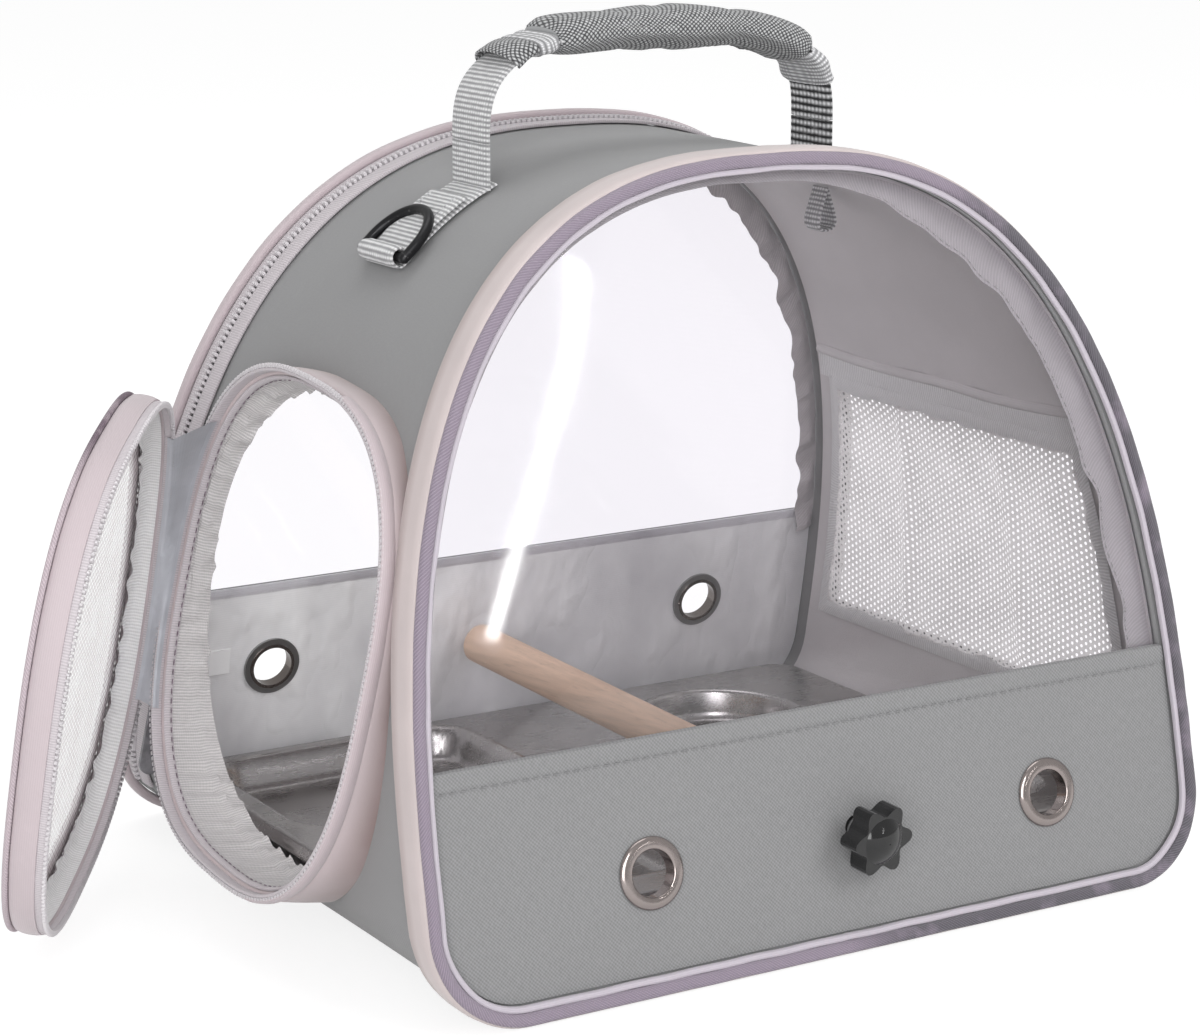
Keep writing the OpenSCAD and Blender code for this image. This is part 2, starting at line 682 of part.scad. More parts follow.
module door_zip_pull() {
    color([0.50, 0.50, 0.51]) slider_frame()
        translate([-slider_off - 0.2 - pull_t, -slider_l / 2 + 4, 0]) rotate([0, 0, -slider_turn])
        rotate([0, -90, 0]) mirror([0, 0, 1]) translate([0, -pull_l / 2, 0])
            linear_extrude(height = pull_t) polygon(round_rect(pull_w, pull_l, 4));
}

module back_panel() {
    color([0.72, 0.72, 0.76]) difference() {
        intersection() {
            arch_solid(wall_in + gap);
            back_slab(panel_front, panel_front + panel_t);
            below(back_panel_h);
        }
        mirror([0, 1, 0]) eyelet_cuts(back_eyelet_gap, 0, back_eyelet_z, panel_front);
    }
}
module back_window() {
    color([0.9, 0.93, 0.95, 0.35]) intersection() {
        arch_solid(wall_in + gap);
        back_slab(window_front, window_front + window_t);
        above(back_panel_h - window_tuck);
    }
}
module back_ribbon() {
    color([0.66, 0.65, 0.66]) intersection() {
        arch_band(wall_in + gap, wall_in + gap + ribbon_w);
        back_slab(window_front + window_t + gap, window_front + window_t + gap + ribbon_layer);
        above(back_panel_h - window_tuck);
    }
}
module back_gusset() {
    color([0.80, 0.76, 0.78]) intersection() {
        arch_band(cover_inset, wall_in);
        back_slab(0.6, gusset_d);
    }
}
module back_binding() {
    color([0.86, 0.83, 0.84]) intersection() {
        arch_band(0, cover_inset - gap);
        back_slab(0, 5.2);
    }
}
module back_eyelets() {
    mirror([0, 1, 0]) eyelet_pair(back_eyelet_gap, 0, back_eyelet_z, panel_front);
}
module back_eyelet_washers() {
    mirror([0, 1, 0]) washer_pair(back_eyelet_gap, 0, back_eyelet_z, panel_front);
}
module back_door_tape() {
    color([0.74, 0.72, 0.73]) intersection() {
        arch_band(cover_inset - gap - tape_t, cover_inset - gap);
        back_slab(5.2 + gap, gusset_d - teeth_w);
        above(zip_z);
    }
}
module back_door_teeth() {
    color([0.88, 0.86, 0.87]) intersection() {
        arch_band(cover_inset - gap - 2 * tape_t, cover_inset - gap);
        back_slab(gusset_d - teeth_w, gusset_d);
        above(zip_z);
    }
}
module care_label() {
    color([0.95, 0.95, 0.95]) mirror([0, 1, 0])
        on_front(label_in - body_w / 2, back_eyelet_z + 4, panel_front + panel_t + seat_gap)
        translate([-label_w / 2, -label_h / 2, -label_t]) cube([label_w, label_h, label_t]);
}
// Slider of the back zip, parked at its lower right end
module back_slider_frame() {
    z = zip_z + 24;
    translate([body_w / 2 - cover_inset + 2 * tape_t + gap + 0.2, -face_y(z) - back_seam - 4.6, z])
        rotate([lean, 0, 0]) children();
}
module back_zip_slider() {
    color([0.55, 0.54, 0.55]) back_slider_frame() {
        translate([0, -slider_w / 2, -slider_l / 2]) cube([back_slider_t, slider_w, slider_l]);
        translate([back_slider_t - ear_t, 0, -slider_l / 2 + 1]) {
            translate([0, -back_ear_span / 2, 0]) cube([ear_t, back_ear_span, ear_l]);
            for (e = [-1, 1]) translate([0, e * (back_ear_span - ear_t) / 2 - ear_t / 2, 0])
                cube([ear_t + 2, ear_t, ear_l]);
        }
    }
}
module back_zip_pull() {
    color([0.50, 0.50, 0.51]) back_slider_frame() translate([back_slider_t + gap, 0, -slider_l / 2 + 3])
        rotate([-lean, 0, 0]) rotate([90, 0, 90]) translate([0, -pull_l / 2, 0])
            linear_extrude(height = pull_t) polygon(round_rect(pull_w, pull_l, 4));
}
// Frame of the perch: the origin lies on the outer side of the front panel
module perch_frame() {
    translate([fitting_shift, face_y(knob_z) + panel_front, knob_z])
        rotate([-90 + perch_rise, 0, perch_turn]) children();
}
module perch() {
    color([0.85, 0.72, 0.60]) perch_frame() difference() {
        translate([0, 0, perch_start]) cylinder(r = perch_r, h = perch_l, $fn = 48);
        cylinder(r = bolt_r, h = perch_start + bolt_in, $fn = 32);
    }
}
module perch_bolt() {
    color([0.60, 0.60, 0.60]) perch_frame() translate([0, 0, -bolt_out])
        cylinder(r = bolt_r, h = bolt_out + perch_start + bolt_in, $fn = 32);
}
module perch_washer() {
    color([0.60, 0.60, 0.60]) perch_frame() translate([0, 0, panel_along + washer_lift]) difference() {
        cylinder(r = washer_r, h = washer_t, $fn = 32);
        cylinder(r = bolt_r + gap, h = 10, center = true, $fn = 32);
    }
}
module knob_washer() {
    color([0.60, 0.60, 0.60]) perch_frame() translate([0, 0, -washer_lift - washer_t]) difference() {
        cylinder(r = washer_r, h = washer_t, $fn = 32);
        cylinder(r = bolt_r + gap, h = 10, center = true, $fn = 32);
    }
}
module star_knob() {
    color([0.08, 0.08, 0.09]) perch_frame() translate([0, 0, -knob_start]) mirror([0, 0, 1])
        difference() {
            union() {
                cylinder(r = star_hub_r, h = hub_l, $fn = 40);
                translate([0, 0, hub_l]) linear_extrude(height = knob_t)
                    polygon([for (k = [0 : 71]) let (t = 5 * k, r = knob_r + knob_lobe * cos(lobes * t))
                        [r * cos(t), r * sin(t)]]);
                intersection() {
                    translate([0, 0, hub_l + knob_t - dome_sink]) sphere(r = dome_r, $fn = 48);
                    translate([0, 0, hub_l + knob_t - 1])
                        cylinder(r = knob_r - knob_lobe, h = dome_r / 2, $fn = 48);
                }
            }
            translate([0, 0, -1]) cylinder(r = bolt_r + gap + insert_wall, h = insert_l + 1, $fn = 32);
            cylinder(r = bolt_r + gap, h = bolt_out - knob_start + gap, $fn = 32);
        }
}
module knob_insert() {
    color([0.75, 0.62, 0.35]) perch_frame() translate([0, 0, -knob_start]) mirror([0, 0, 1])
        difference() {
            cylinder(r = bolt_r + gap + insert_wall - 0.05, h = insert_l, $fn = 32);
            cylinder(r = bolt_r + gap, h = 60, center = true, $fn = 32);
        }
}
module tray() {
    color([0.70, 0.71, 0.72]) translate([0, tray_back, tray_z]) {
        translate([0, 0, -steel_t]) linear_extrude(height = steel_t) difference() {
            polygon(round_rect(tray_w, tray_d, tray_corner));
            for (w = wells) translate([w[0], w[1]])
                polygon(round_rect(w[2] - 2 * well_wall, w[3] - 2 * well_wall, well_r));
            translate([cup_x, cup_y]) circle(r = cup_hole_r, $fn = 48);
        }
        translate([0, 0, -tray_lip]) linear_extrude(height = tray_lip - steel_t) difference() {
            polygon(round_rect(tray_w, tray_d, tray_corner));
            polygon(round_rect(tray_w - 2 * steel_t, tray_d - 2 * steel_t, tray_corner - steel_t));
        }
        for (w = wells) translate([w[0], w[1], 0]) {
            translate([0, 0, -steel_t - well_depth]) linear_extrude(height = well_depth) difference() {
                polygon(round_rect(w[2], w[3], well_r + well_wall));
                polygon(round_rect(w[2] - 2 * well_wall, w[3] - 2 * well_wall, well_r));
            }
            translate([0, 0, -steel_t - well_depth]) linear_extrude(height = steel_t)
                polygon(round_rect(w[2], w[3], well_r + well_wall));
        }
    }
}
module food_cup() {
    color([0.78, 0.79, 0.80]) translate([cup_x, tray_back + cup_y, tray_z]) rotate_extrude($fn = 56)
        polygon([[0, -well_depth + 0.4], [cup_r - 5, -well_depth + 0.4], [cup_r, -well_depth + 5],
            [cup_r, run_gap], [rim_r, run_gap], [rim_r, run_gap + 1], [cup_r - 1, run_gap + 1],
            [cup_r - 1, -well_depth + 5.4], [cup_r - 5.4, -well_depth + 1.4], [0, -well_depth + 1.4]]);
}

base_cover();
base_board();
body_wrap();
body_lining();
front_piping();
front_binding();
front_ribbon();
front_panel();
front_window();
front_eyelets();
front_eyelet_washers();
side_mesh();
side_mesh_border();
back_zip_tape();
back_zip_teeth();
toy_loop();
strap_left();
strap_right();
handle_neck_left();
handle_neck_right();
handle_web();
handle_grip();
grip_bands();
d_ring_left();
d_ring_right();
door_ring();
ring_ribbon();
ring_zip_tape();
ring_zip_teeth();
door_hinge_strip();
door_gusset();
door_net();
door_border();
door_piping();
door_ribbon();
door_zip_tape();
door_zip_teeth();
door_zip_slider();
door_zip_pull();
back_panel();
back_window();
back_ribbon();
back_gusset();
back_binding();
back_eyelets();
back_eyelet_washers();
back_door_tape();
back_door_teeth();
care_label();
back_zip_slider();
back_zip_pull();
perch();
perch_bolt();
perch_washer();
knob_washer();
star_knob();
knob_insert();
tray();
food_cup();
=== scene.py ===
import math

import bmesh
import bpy
import numpy as np
from mathutils import Matrix, Vector
from mathutils.bvhtree import BVHTree


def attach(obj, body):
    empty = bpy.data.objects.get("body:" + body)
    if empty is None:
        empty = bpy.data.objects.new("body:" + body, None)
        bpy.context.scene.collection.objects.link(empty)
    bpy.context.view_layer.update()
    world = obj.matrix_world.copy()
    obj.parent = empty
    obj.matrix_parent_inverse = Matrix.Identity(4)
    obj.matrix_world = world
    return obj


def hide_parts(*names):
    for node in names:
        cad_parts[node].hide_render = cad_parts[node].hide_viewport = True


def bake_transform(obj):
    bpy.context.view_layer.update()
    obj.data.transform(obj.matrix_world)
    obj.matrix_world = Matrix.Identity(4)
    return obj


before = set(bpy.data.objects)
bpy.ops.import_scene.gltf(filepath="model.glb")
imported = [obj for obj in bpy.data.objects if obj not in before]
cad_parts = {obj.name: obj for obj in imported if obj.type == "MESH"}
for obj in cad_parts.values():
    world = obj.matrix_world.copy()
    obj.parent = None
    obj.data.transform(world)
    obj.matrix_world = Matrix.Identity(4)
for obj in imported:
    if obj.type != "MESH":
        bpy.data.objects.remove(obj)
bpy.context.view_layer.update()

MM = 0.001
PI = math.pi
rad = math.radians

# Sizes in mm, as in the part's source
W, H, D, SET, R, N = 310.0, 262.0, 258.0, 55.0, 33.0, 2.57
FLAT = W / 2 - R
LEAN = math.atan(SET / H)
PANEL_TOP, BACK_TOP, TUCK = 81.4, 89.0, 6.0
PANEL_IN, FILM_IN, FILM_D = 7.35, 7.4, 5.2
FRONT_EYELETS, FRONT_EYELET_Z = (-71.5, 89.5), 39
BACK_EYELETS, BACK_EYELET_Z = (-95, 95), 56
BOLT_X, BOLT_Z = 9, 40
EYELET_CUT, BOLT_CUT = 10.0, 4.2
RING_A, RING_B, RING_P = 76.0, 85.8, 2.7
RING_C = np.array([-(W / 2 - 8.8), -11.0, 104.6])
RING_LEAN, RING_TURN, RING_PROUD = rad(11.6), rad(-3.5), 11.6
RIM_N = 7.75
HINGE_BACK, HINGE_RISE = rad(8.6), rad(23.3)
HINGE_DIR = np.array([-math.sin(HINGE_BACK), math.cos(HINGE_BACK), math.tan(HINGE_RISE)])
HINGE_AT = np.array([-(RING_A + 1.66), 0.0, RING_PROUD])
DOOR_OPEN = rad(36.9)
MESH_Z0, MESH_Z1, MESH_FRONT, MESH_BACK = 52.0, 145.0, 27.0, 25.0
NET_UNDER = 4.6
LOOP_X, LOOP_Z, LOOP_R = 103.3, 226.45, 3.9
FOOT, FOLD_Z, RISE, HANDLE_P = 69.5, 262.0, 35.0, 3.0
WEB_W = 25.0
GRIP_X, GRIP_L, GRIP_W, GRIP_T = 9.0, 102.0, 32.0, 13.0
GRIP_END = GRIP_X - GRIP_L / 2
TRAY = (0, 5, 278, 214, 14)
WELLS = ((-75, 60, 106, 88), (-75, -38, 106, 88), (70, -38, 116, 88))
CUP_X, CUP_Y = 69, 57
EYE = (-0.5889, -0.9411, 0.3837)


def spin(axis, angle):
    """Turning matrix about an axis."""
    v = np.array(axis, float) / np.linalg.norm(axis)
    k = np.array([[0, -v[2], v[1]], [v[2], 0, -v[0]], [-v[1], v[0], 0]])
    return np.eye(3) + math.sin(angle) * k + (1 - math.cos(angle)) * k @ k


RING_M = spin((0, 1, 0), RING_LEAN) @ spin((0, 0, 1), -PI / 2)
RING_M = RING_M @ spin((1, 0, 0), PI / 2) @ spin((0, 0, 1), RING_TURN)
DOOR_Q = spin(HINGE_DIR, -DOOR_OPEN)


def ring(p):
    """From the ring frame of the side door to the part's frame."""
    return RING_C + np.asarray(p, float) @ RING_M.T


def swung(p):
    """The same for what is drawn on the closed door, with the door open."""
    return ring(HINGE_AT + (np.asarray(p, float) - HINGE_AT) @ DOOR_Q.T)


def face_y(z):
    return -D / 2 + SET * z / H


def arch_x(z, i):
    return (W / 2 - i) * (1 - (np.maximum(z - R, 0) / (H - R - i)) ** N) ** (1 / N)


def arch_z(x, i):
    return R + (H - R - i) * (1 - (np.abs(x) / (W / 2 - i)) ** N) ** (1 / N)


def arch_at(k, i):
    """Point of the arch outline drawn in by i. k runs 0 to 5, from the bottom middle by the right."""
    k, i = np.broadcast_arrays(np.asarray(k, float), np.asarray(i, float))
    m = np.minimum(k, 5 - k)
    corner = PI / 2 * (np.clip(m, 1, 2) - 1)
    over = PI * np.clip(m - 2, 0, 0.5)
    x = np.where(m > 2, (W / 2 - i) * np.abs(np.cos(over)) ** (2 / N), FLAT + (R - i) * np.sin(corner))
    z = np.where(m > 2, R + (H - R - i) * np.abs(np.sin(over)) ** (2 / N), R - (R - i) * np.cos(corner))
    x, z = np.where(m > 1, x, FLAT * m), np.where(m > 1, z, i)
    return np.where(k > 2.5, -x, x), z


def arch_line(q):
    return np.column_stack(arch_at(q, 0))


def even(curve, lo, hi, step):
    """Parameters between lo and hi at even steps along curve(k) -> (n, 2 or 3), and the length at each."""
    k = np.linspace(lo, hi, 6000)
    s = run(curve(k))
    at = np.linspace(0, s[-1], max(4, int(round(s[-1] / step))) + 1)
    return np.interp(at, s, k), at


def run(path):
    """Length along a path at each of its points."""
    return np.concatenate([[0], np.cumsum(np.linalg.norm(np.diff(path, axis=0), axis=1))])


def arch_ks(step=3.0, above=None):
    """Even parameters round the arch, or over it from the right foot at that height to the left one."""
    lo = 0.0
    if above is not None:
        k = np.linspace(1, 2.5, 6000)
        lo = float(np.interp(above, arch_at(k, 0)[1], k))
    return even(arch_line, lo, 5 - lo, step)


def oval_at(t, i):
    c, s = np.cos(t), np.sin(t)
    return ((RING_A - i) * np.sign(c) * np.abs(c) ** (2 / RING_P),
            (RING_B - i) * np.sign(s) * np.abs(s) ** (2 / RING_P))


def oval_line(q):
    return np.column_stack(oval_at(q, 0))


def oval_ts(step=3.0, lo=0.0, hi=2 * PI):
    return even(oval_line, lo, hi, step)


def front_place(x, d, z):
    """Point d behind the leaning front face."""
    return np.stack([x, face_y(z) + d, z], -1)


def back_place(x, d, z):
    """Point d ahead of the leaning back face."""
    return np.stack([x, -face_y(z) - d, z], -1)


def front(k, i, d):
    x, z = arch_at(k, i)
    return front_place(x, d, z)


def back(k, i, d):
    x, z = arch_at(k, i)
    return back_place(x, d, z)


def on_ring(t, i, n):
    x, y = oval_at(t, i)
    return ring(np.stack([x, y, n + 0 * x], -1))


def on_door(t, i, n):
    x, y = oval_at(t, i)
    return swung(np.stack([x, y, n + 0 * x], -1))


def waves(s, seed, *parts):
    """A smooth uneven wave along s: parts are (wavelength, height)."""
    rng = np.random.RandomState(seed)
    s = np.asarray(s)
    out = np.zeros(s.shape)
    for length, height in parts:
        for f in (0.83, 1.0, 1.27):
            turn = 2 * PI * (s * f / length + rng.rand()) + 0.6 * np.sin(s / length)
            out = out + height / 1.8 * np.sin(turn)
    return out


# Shaders
def linear(rgb):
    """Shader colour of a colour written 0 to 255."""
    c = np.array(rgb, float) / 255
    return tuple(np.where(c <= 0.04045, c / 12.92, ((c + 0.055) / 1.055) ** 2.4)) + (1.0,)


def plain(colour, f):
    """A colour made lighter or darker."""
    return tuple(min(1.0, c * f) for c in colour[:3]) + (1.0,)


class Nodes:
    """A node tree with short calls for its nodes. u and v are the cloth's own millimetres."""

    def __init__(self, tree, output):
        self.tree = tree
        tree.nodes.clear()
        self.out = self.node(output)

    def node(self, kind, inputs=None, **props):
        n = self.tree.nodes.new(kind)
        for key, value in props.items():
            setattr(n, key, value)
        for key, value in (inputs or {}).items():
            if isinstance(value, bpy.types.NodeSocket):
                self.tree.links.new(value, n.inputs[key])
            else:
                n.inputs[key].default_value = value
        return n

    def math(self, op, a, b=0.0, c=0.0):
        return self.node("ShaderNodeMath", {0: a, 1: b, 2: c}, operation=op).outputs[0]

    def times(self, p, by):
        return self.node("ShaderNodeVectorMath", {0: p, 1: by}, operation="MULTIPLY").outputs[0]

    def uv(self):
        """The cloth's own coordinates in mm: a vector and its two parts."""
        p = self.node("ShaderNodeUVMap", uv_map="weave").outputs[0]
        n = self.node("ShaderNodeSeparateXYZ", {0: p})
        return p, n.outputs[0], n.outputs[1]

    def place(self):
        """Place on the object in mm."""
        return self.times(self.node("ShaderNodeTexCoord").outputs["Object"], (1000, 1000, 1000))

    def noise(self, p, size, detail=2.0, rough=0.5, stretch=None):
        if stretch is not None:
            p = self.times(p, stretch)
        inputs = {"Vector": p, "Scale": 1.0 / size, "Detail": detail, "Roughness": rough}
        return self.node("ShaderNodeTexNoise", inputs).outputs[0]

    def wave(self, x, pitch):
        """0 to 1 with that pitch along x."""
        return self.math("MULTIPLY_ADD", self.math("SINE", self.math("MULTIPLY", x, 2 * PI / pitch)), 0.5,
                         0.5)

    def ripple(self, x, pitch):
        return self.math("COSINE", self.math("MULTIPLY", x, 2 * PI / pitch))

    def mix(self, f, a, b):
        return self.node("ShaderNodeMix", {0: f, 6: a, 7: b}, data_type="RGBA").outputs[2]

    def ramp(self, f, lo, hi):
        """f stretched so that lo gives 0 and hi gives 1, held within them."""
        return self.node("ShaderNodeMapRange", {0: f, 1: lo, 2: hi}).outputs[0]

    def bump(self, h, depth, strength=1.0, under=None):
        inputs = {"Height": h, "Distance": depth * MM, "Strength": strength}
        if under is not None:
            inputs["Normal"] = under
        return self.node("ShaderNodeBump", inputs).outputs[0]

    def surface(self, colour, rough, normal, spec, **more):
        """Principled shader. The names in more are its inputs, with _ for a space."""
        inputs = {"Base Color": colour, "Roughness": rough, "Normal": normal, "Specular IOR Level": spec}
        inputs.update({key.replace("_", " "): value for key, value in more.items()})
        return self.node("ShaderNodeBsdfPrincipled", inputs).outputs[0]

    def finish(self, shader):
        self.tree.links.new(shader, self.out.inputs[0])


class Shader(Nodes):
    """The nodes of a new material."""

    def __init__(self, name):
        self.mat = bpy.data.materials.new(name)
        self.mat.use_nodes = True
        super().__init__(self.mat.node_tree, "ShaderNodeOutputMaterial")

    def finish(self, shader):
        super().finish(shader)
        return self.mat


def weave_height(s, kind, u, v, pitch):
    """Height 0 to 1 of a weave."""
    if kind == "oxford":
        a = s.wave(s.math("ADD", u, v), pitch)
        b = s.wave(s.math("SUBTRACT", u, v), pitch * 0.98)
        return s.math("MULTIPLY_ADD", a, 0.62, s.math("MULTIPLY", b, 0.38))
    if kind == "rib":
        b = s.wave(v, pitch * 0.55)
        return s.math("MULTIPLY_ADD", s.wave(u, pitch), 0.8, s.math("MULTIPLY", b, 0.2))
    if kind == "twill":
        return s.wave(s.math("MULTIPLY_ADD", v, 0.6, u), pitch)
    if kind == "basket":
        a = s.wave(s.math("MULTIPLY_ADD", v, 0.8, u), pitch)
        b = s.wave(s.math("MULTIPLY_ADD", v, -0.8, u), pitch)
        return s.math("POWER", s.math("MULTIPLY", a, b), 0.6)
    if kind == "web":
        gaps = s.math("MULTIPLY_ADD", s.wave(v, pitch * 0.9), 0.55, 0.5)
        return s.math("MULTIPLY", s.wave(u, pitch), gaps)
    if kind == "braid":
        a = s.wave(s.math("MULTIPLY_ADD", v, 1.3, u), pitch)
        return s.math("MULTIPLY_ADD", a, 0.85, s.math("MULTIPLY", s.wave(v, pitch * 0.5), 0.15))
    return s.wave(v, pitch)


def cloth(name, rgb, kind, pitch, contrast=0.14, depth=0.12, rough=0.85, sheen=0.2, mottle=0.05,
          wrinkle=0.0, crease=18.0, spec=0.25, dark=None, jitter=0.5):
    """Woven cloth: its weave in colour and height, uneven dye, faint creases and scuffs."""
    s = Shader(name)
    base = linear(rgb)
    p, u, v = s.uv()
    du = s.math("MULTIPLY_ADD", s.noise(p, 3.0), pitch * jitter, u)
    thread = s.noise(p, pitch * 0.7, 1.0, stretch=(1.0, 0.35, 1.0))
    h = s.math("MULTIPLY", weave_height(s, kind, du, v, pitch), 0.65)
    h = s.math("MULTIPLY_ADD", thread, 0.35, h)
    if dark is None:
        colour = s.mix(h, plain(base, 1 - contrast), plain(base, 1 + contrast * 0.8))
    else:
        colour = s.mix(s.ramp(h, 0.22, 0.78), linear(dark), plain(base, 1 + contrast * 0.8))
    wide = s.ramp(s.noise(p, 42.0, 3.0), 0.3, 0.7)
    colour = s.mix(wide, colour, s.mix(1.0 - mottle, plain(base, 0.72), colour))
    scuff = s.ramp(s.noise(p, 9.0, 4.0, 0.65), 0.58, 0.75)
    colour = s.mix(s.math("MULTIPLY", scuff, 0.16), colour, plain(base, 1.22))
    normal = s.bump(h, depth, 0.8)
    if wrinkle:
        fold = s.noise(p, crease, 3.0, 0.55, stretch=(1.0, 0.55, 1.0))
        normal = s.bump(fold, wrinkle, 1.0, normal)
    roughness = s.math("MULTIPLY_ADD", h, -0.1, rough + 0.05)
    return s.finish(s.surface(colour, roughness, normal, spec, Sheen_Weight=sheen, Sheen_Roughness=0.5))


def satin(name, rgb, rough, wrinkle, crease, contrast, metallic=0.0):
    """Coated satin lining: soft creases that catch the light and are also painted lighter and darker as
    highlight and shade, and a fine thread.
    """
    s = Shader(name)
    base = linear(rgb)
    p, _, v = s.uv()
    fine = s.wave(s.math("MULTIPLY_ADD", s.noise(p, 6.0), 0.5, v), 0.9)
    fold = s.noise(p, crease, 3.0, 0.5, stretch=(1.0, 0.6, 1.0))
    small = s.noise(p, 8.0, 3.0, 0.6)
    ridge = s.math("ABSOLUTE", s.math("SUBTRACT", fold, 0.5))
    # Painted highlight and shade: the crease noise also makes the colour lighter and darker by contrast.
    colour = s.mix(s.ramp(fold, 0.3, 0.7), plain(base, 1 - contrast), plain(base, 1 + contrast))
    colour = s.mix(s.math("MULTIPLY", fine, 0.12), colour, plain(base, 0.7))
    n = s.bump(small, 0.5, 0.5, s.bump(fine, 0.04, 0.5))
    n = s.bump(s.math("MULTIPLY_ADD", ridge, 0.8, fold), wrinkle, 1.0, n)
    roughness = s.math("MULTIPLY_ADD", small, 0.16, rough - 0.06)
    return s.finish(s.surface(colour, roughness, n, 0.45, Metallic=metallic, Sheen_Weight=0.1))


def net_cloth(name, rgb, pitch, hole, hexed, through):
    """Knitted net: threads with open holes between them."""
    s = Shader(name)
    base = linear(rgb)
    p, u, v = s.uv()
    f = s.ripple(u, pitch)
    if hexed:
        slant = math.sqrt(3) / 2
        for side in (slant, -slant):
            half = s.math("MULTIPLY", u, 0.5)
            f = s.math("ADD", f, s.ripple(s.math("MULTIPLY_ADD", v, side, half), pitch))
    else:
        f = s.math("MINIMUM", f, s.ripple(v, pitch))
    f = s.math("MULTIPLY_ADD", s.noise(p, 1.4, 1.0), 0.5, f)
    thread = s.ramp(f, hole + 0.22, hole - 0.02)
    colour = s.mix(s.ramp(s.noise(p, 16.0, 3.0), 0.3, 0.7), plain(base, 0.9), plain(base, 1.04))
    woven = s.surface(colour, 0.7, s.bump(thread, 0.3, 0.7), 0.3, Sheen_Weight=0.2)
    lit = s.node("ShaderNodeBsdfTranslucent", {"Color": colour}).outputs[0]
    solid = s.node("ShaderNodeMixShader", {0: through, 1: woven, 2: lit}).outputs[0]
    clear = s.node("ShaderNodeBsdfTransparent").outputs[0]
    return s.finish(s.node("ShaderNodeMixShader", {0: thread, 1: clear, 2: solid}).outputs[0])


def film(name):
    """Clear soft film: see-through, with gloss by angle and a faint ripple."""
    s = Shader(name)
    p = s.uv()[0]
    n = s.bump(s.noise(p, 120.0, 0.0), 0.6, 0.15)
    rough = s.math("ADD", s.ramp(s.noise(p, 30.0, 3.0), 0.0, 14.0), 0.005)
    gloss = s.node("ShaderNodeBsdfGlossy", {"Roughness": rough, "Normal": n, "Color": (1, 1, 1, 1)})
    clear = s.node("ShaderNodeBsdfTransparent", {"Color": (0.96, 0.947, 0.974, 1)})
    f = s.node("ShaderNodeFresnel", {"IOR": 1.5, "Normal": n}).outputs[0]
    amount = s.math("MINIMUM", s.math("MULTIPLY_ADD", f, 1.15, 0.006), 0.95)
    both = {0: amount, 1: clear.outputs[0], 2: gloss.outputs[0]}
    return s.finish(s.node("ShaderNodeMixShader", both).outputs[0])


def metal(name, rgb, rough, brush=(1.0, 1.0, 1.0), weight=1.0, wear=0.0, depth=0.02):
    """Metal or painted metal with smears, fine marks and rubbed spots."""
    s = Shader(name)
    base = linear(rgb)
    p = s.place()
    smear = s.ramp(s.noise(p, 22.0, 3.0), 0.3, 0.7)
    fine = s.noise(p, 0.9, stretch=brush)
    colour = s.mix(smear, plain(base, 0.9), plain(base, 1.06))
    if wear:
        rubbed = s.ramp(s.noise(p, 2.4, 4.0, 0.7), 0.62, 0.72)
        colour = s.mix(rubbed, colour, plain(linear((150, 150, 150)), wear))
    roughness = s.math("MULTIPLY_ADD", smear, 0.1, s.math("MULTIPLY_ADD", fine, 0.12, rough - 0.08))
    return s.finish(s.surface(colour, roughness, s.bump(fine, depth, 0.5), 0.5, Metallic=weight))


def glossy_plastic(name, rgb, rough):
    s = Shader(name)
    base = linear(rgb)
    p = s.place()
    marks = s.noise(p, 5.0, 4.0, 0.6)
    colour = s.mix(s.ramp(marks, 0.35, 0.7), plain(base, 0.85), plain(base, 1.5))
    roughness = s.math("MULTIPLY_ADD", marks, 0.14, rough - 0.04)
    return s.finish(s.surface(colour, roughness, s.bump(s.noise(p, 7.0), 0.12, 0.35), 0.6,
                              Coat_Weight=0.4, Coat_Roughness=0.08))


def wood(name, rgb, along):
    """Pale turned wood: grain drawn out along the dowel, with pores."""
    s = Shader(name)
    base = linear(rgb)
    turned = {"Vector": s.place(), "Rotation": along}
    grain = s.node("ShaderNodeVectorRotate", turned, rotation_type="EULER_XYZ").outputs[0]
    g = s.noise(grain, 2.4, 4.0, 0.6, stretch=(1.0, 0.05, 1.0))
    pores = s.noise(grain, 0.8, stretch=(1.0, 0.07, 1.0))
    colour = s.mix(s.ramp(g, 0.3, 0.72), plain(base, 0.84), plain(base, 1.07))
    colour = s.mix(s.math("MULTIPLY", s.ramp(pores, 0.58, 0.72), 0.5), colour, plain(base, 0.66))
    return s.finish(s.surface(colour, s.math("MULTIPLY_ADD", g, 0.15, 0.5), s.bump(pores, 0.08, 0.5), 0.3))


def edging(name, rgb, deep, a, b):
    """Braided cord whose colour is deeper between two places along it."""
    s = Shader(name)
    rgb, deep = linear(rgb), linear(deep)
    p, u, v = s.uv()
    h = s.wave(s.math("MULTIPLY_ADD", v, 1.3, u), 1.3)
    # Darker colour in patches between a and b, in mm along the cord.
    part = s.math("MULTIPLY", s.ramp(u, a - 25, a), s.ramp(u, b + 25, b))
    darker_span = s.math("MULTIPLY", part, s.ramp(s.noise(p, 14.0, 3.0), 0.25, 0.5))
    colour = s.mix(h, s.mix(darker_span, plain(rgb, 0.78), plain(deep, 0.6)), s.mix(darker_span, rgb, deep))
    roughness = s.math("MULTIPLY_ADD", h, -0.1, 0.72)
    return s.finish(s.surface(colour, roughness, s.bump(h, 0.25, 0.8), 0.3, Sheen_Weight=0.2))


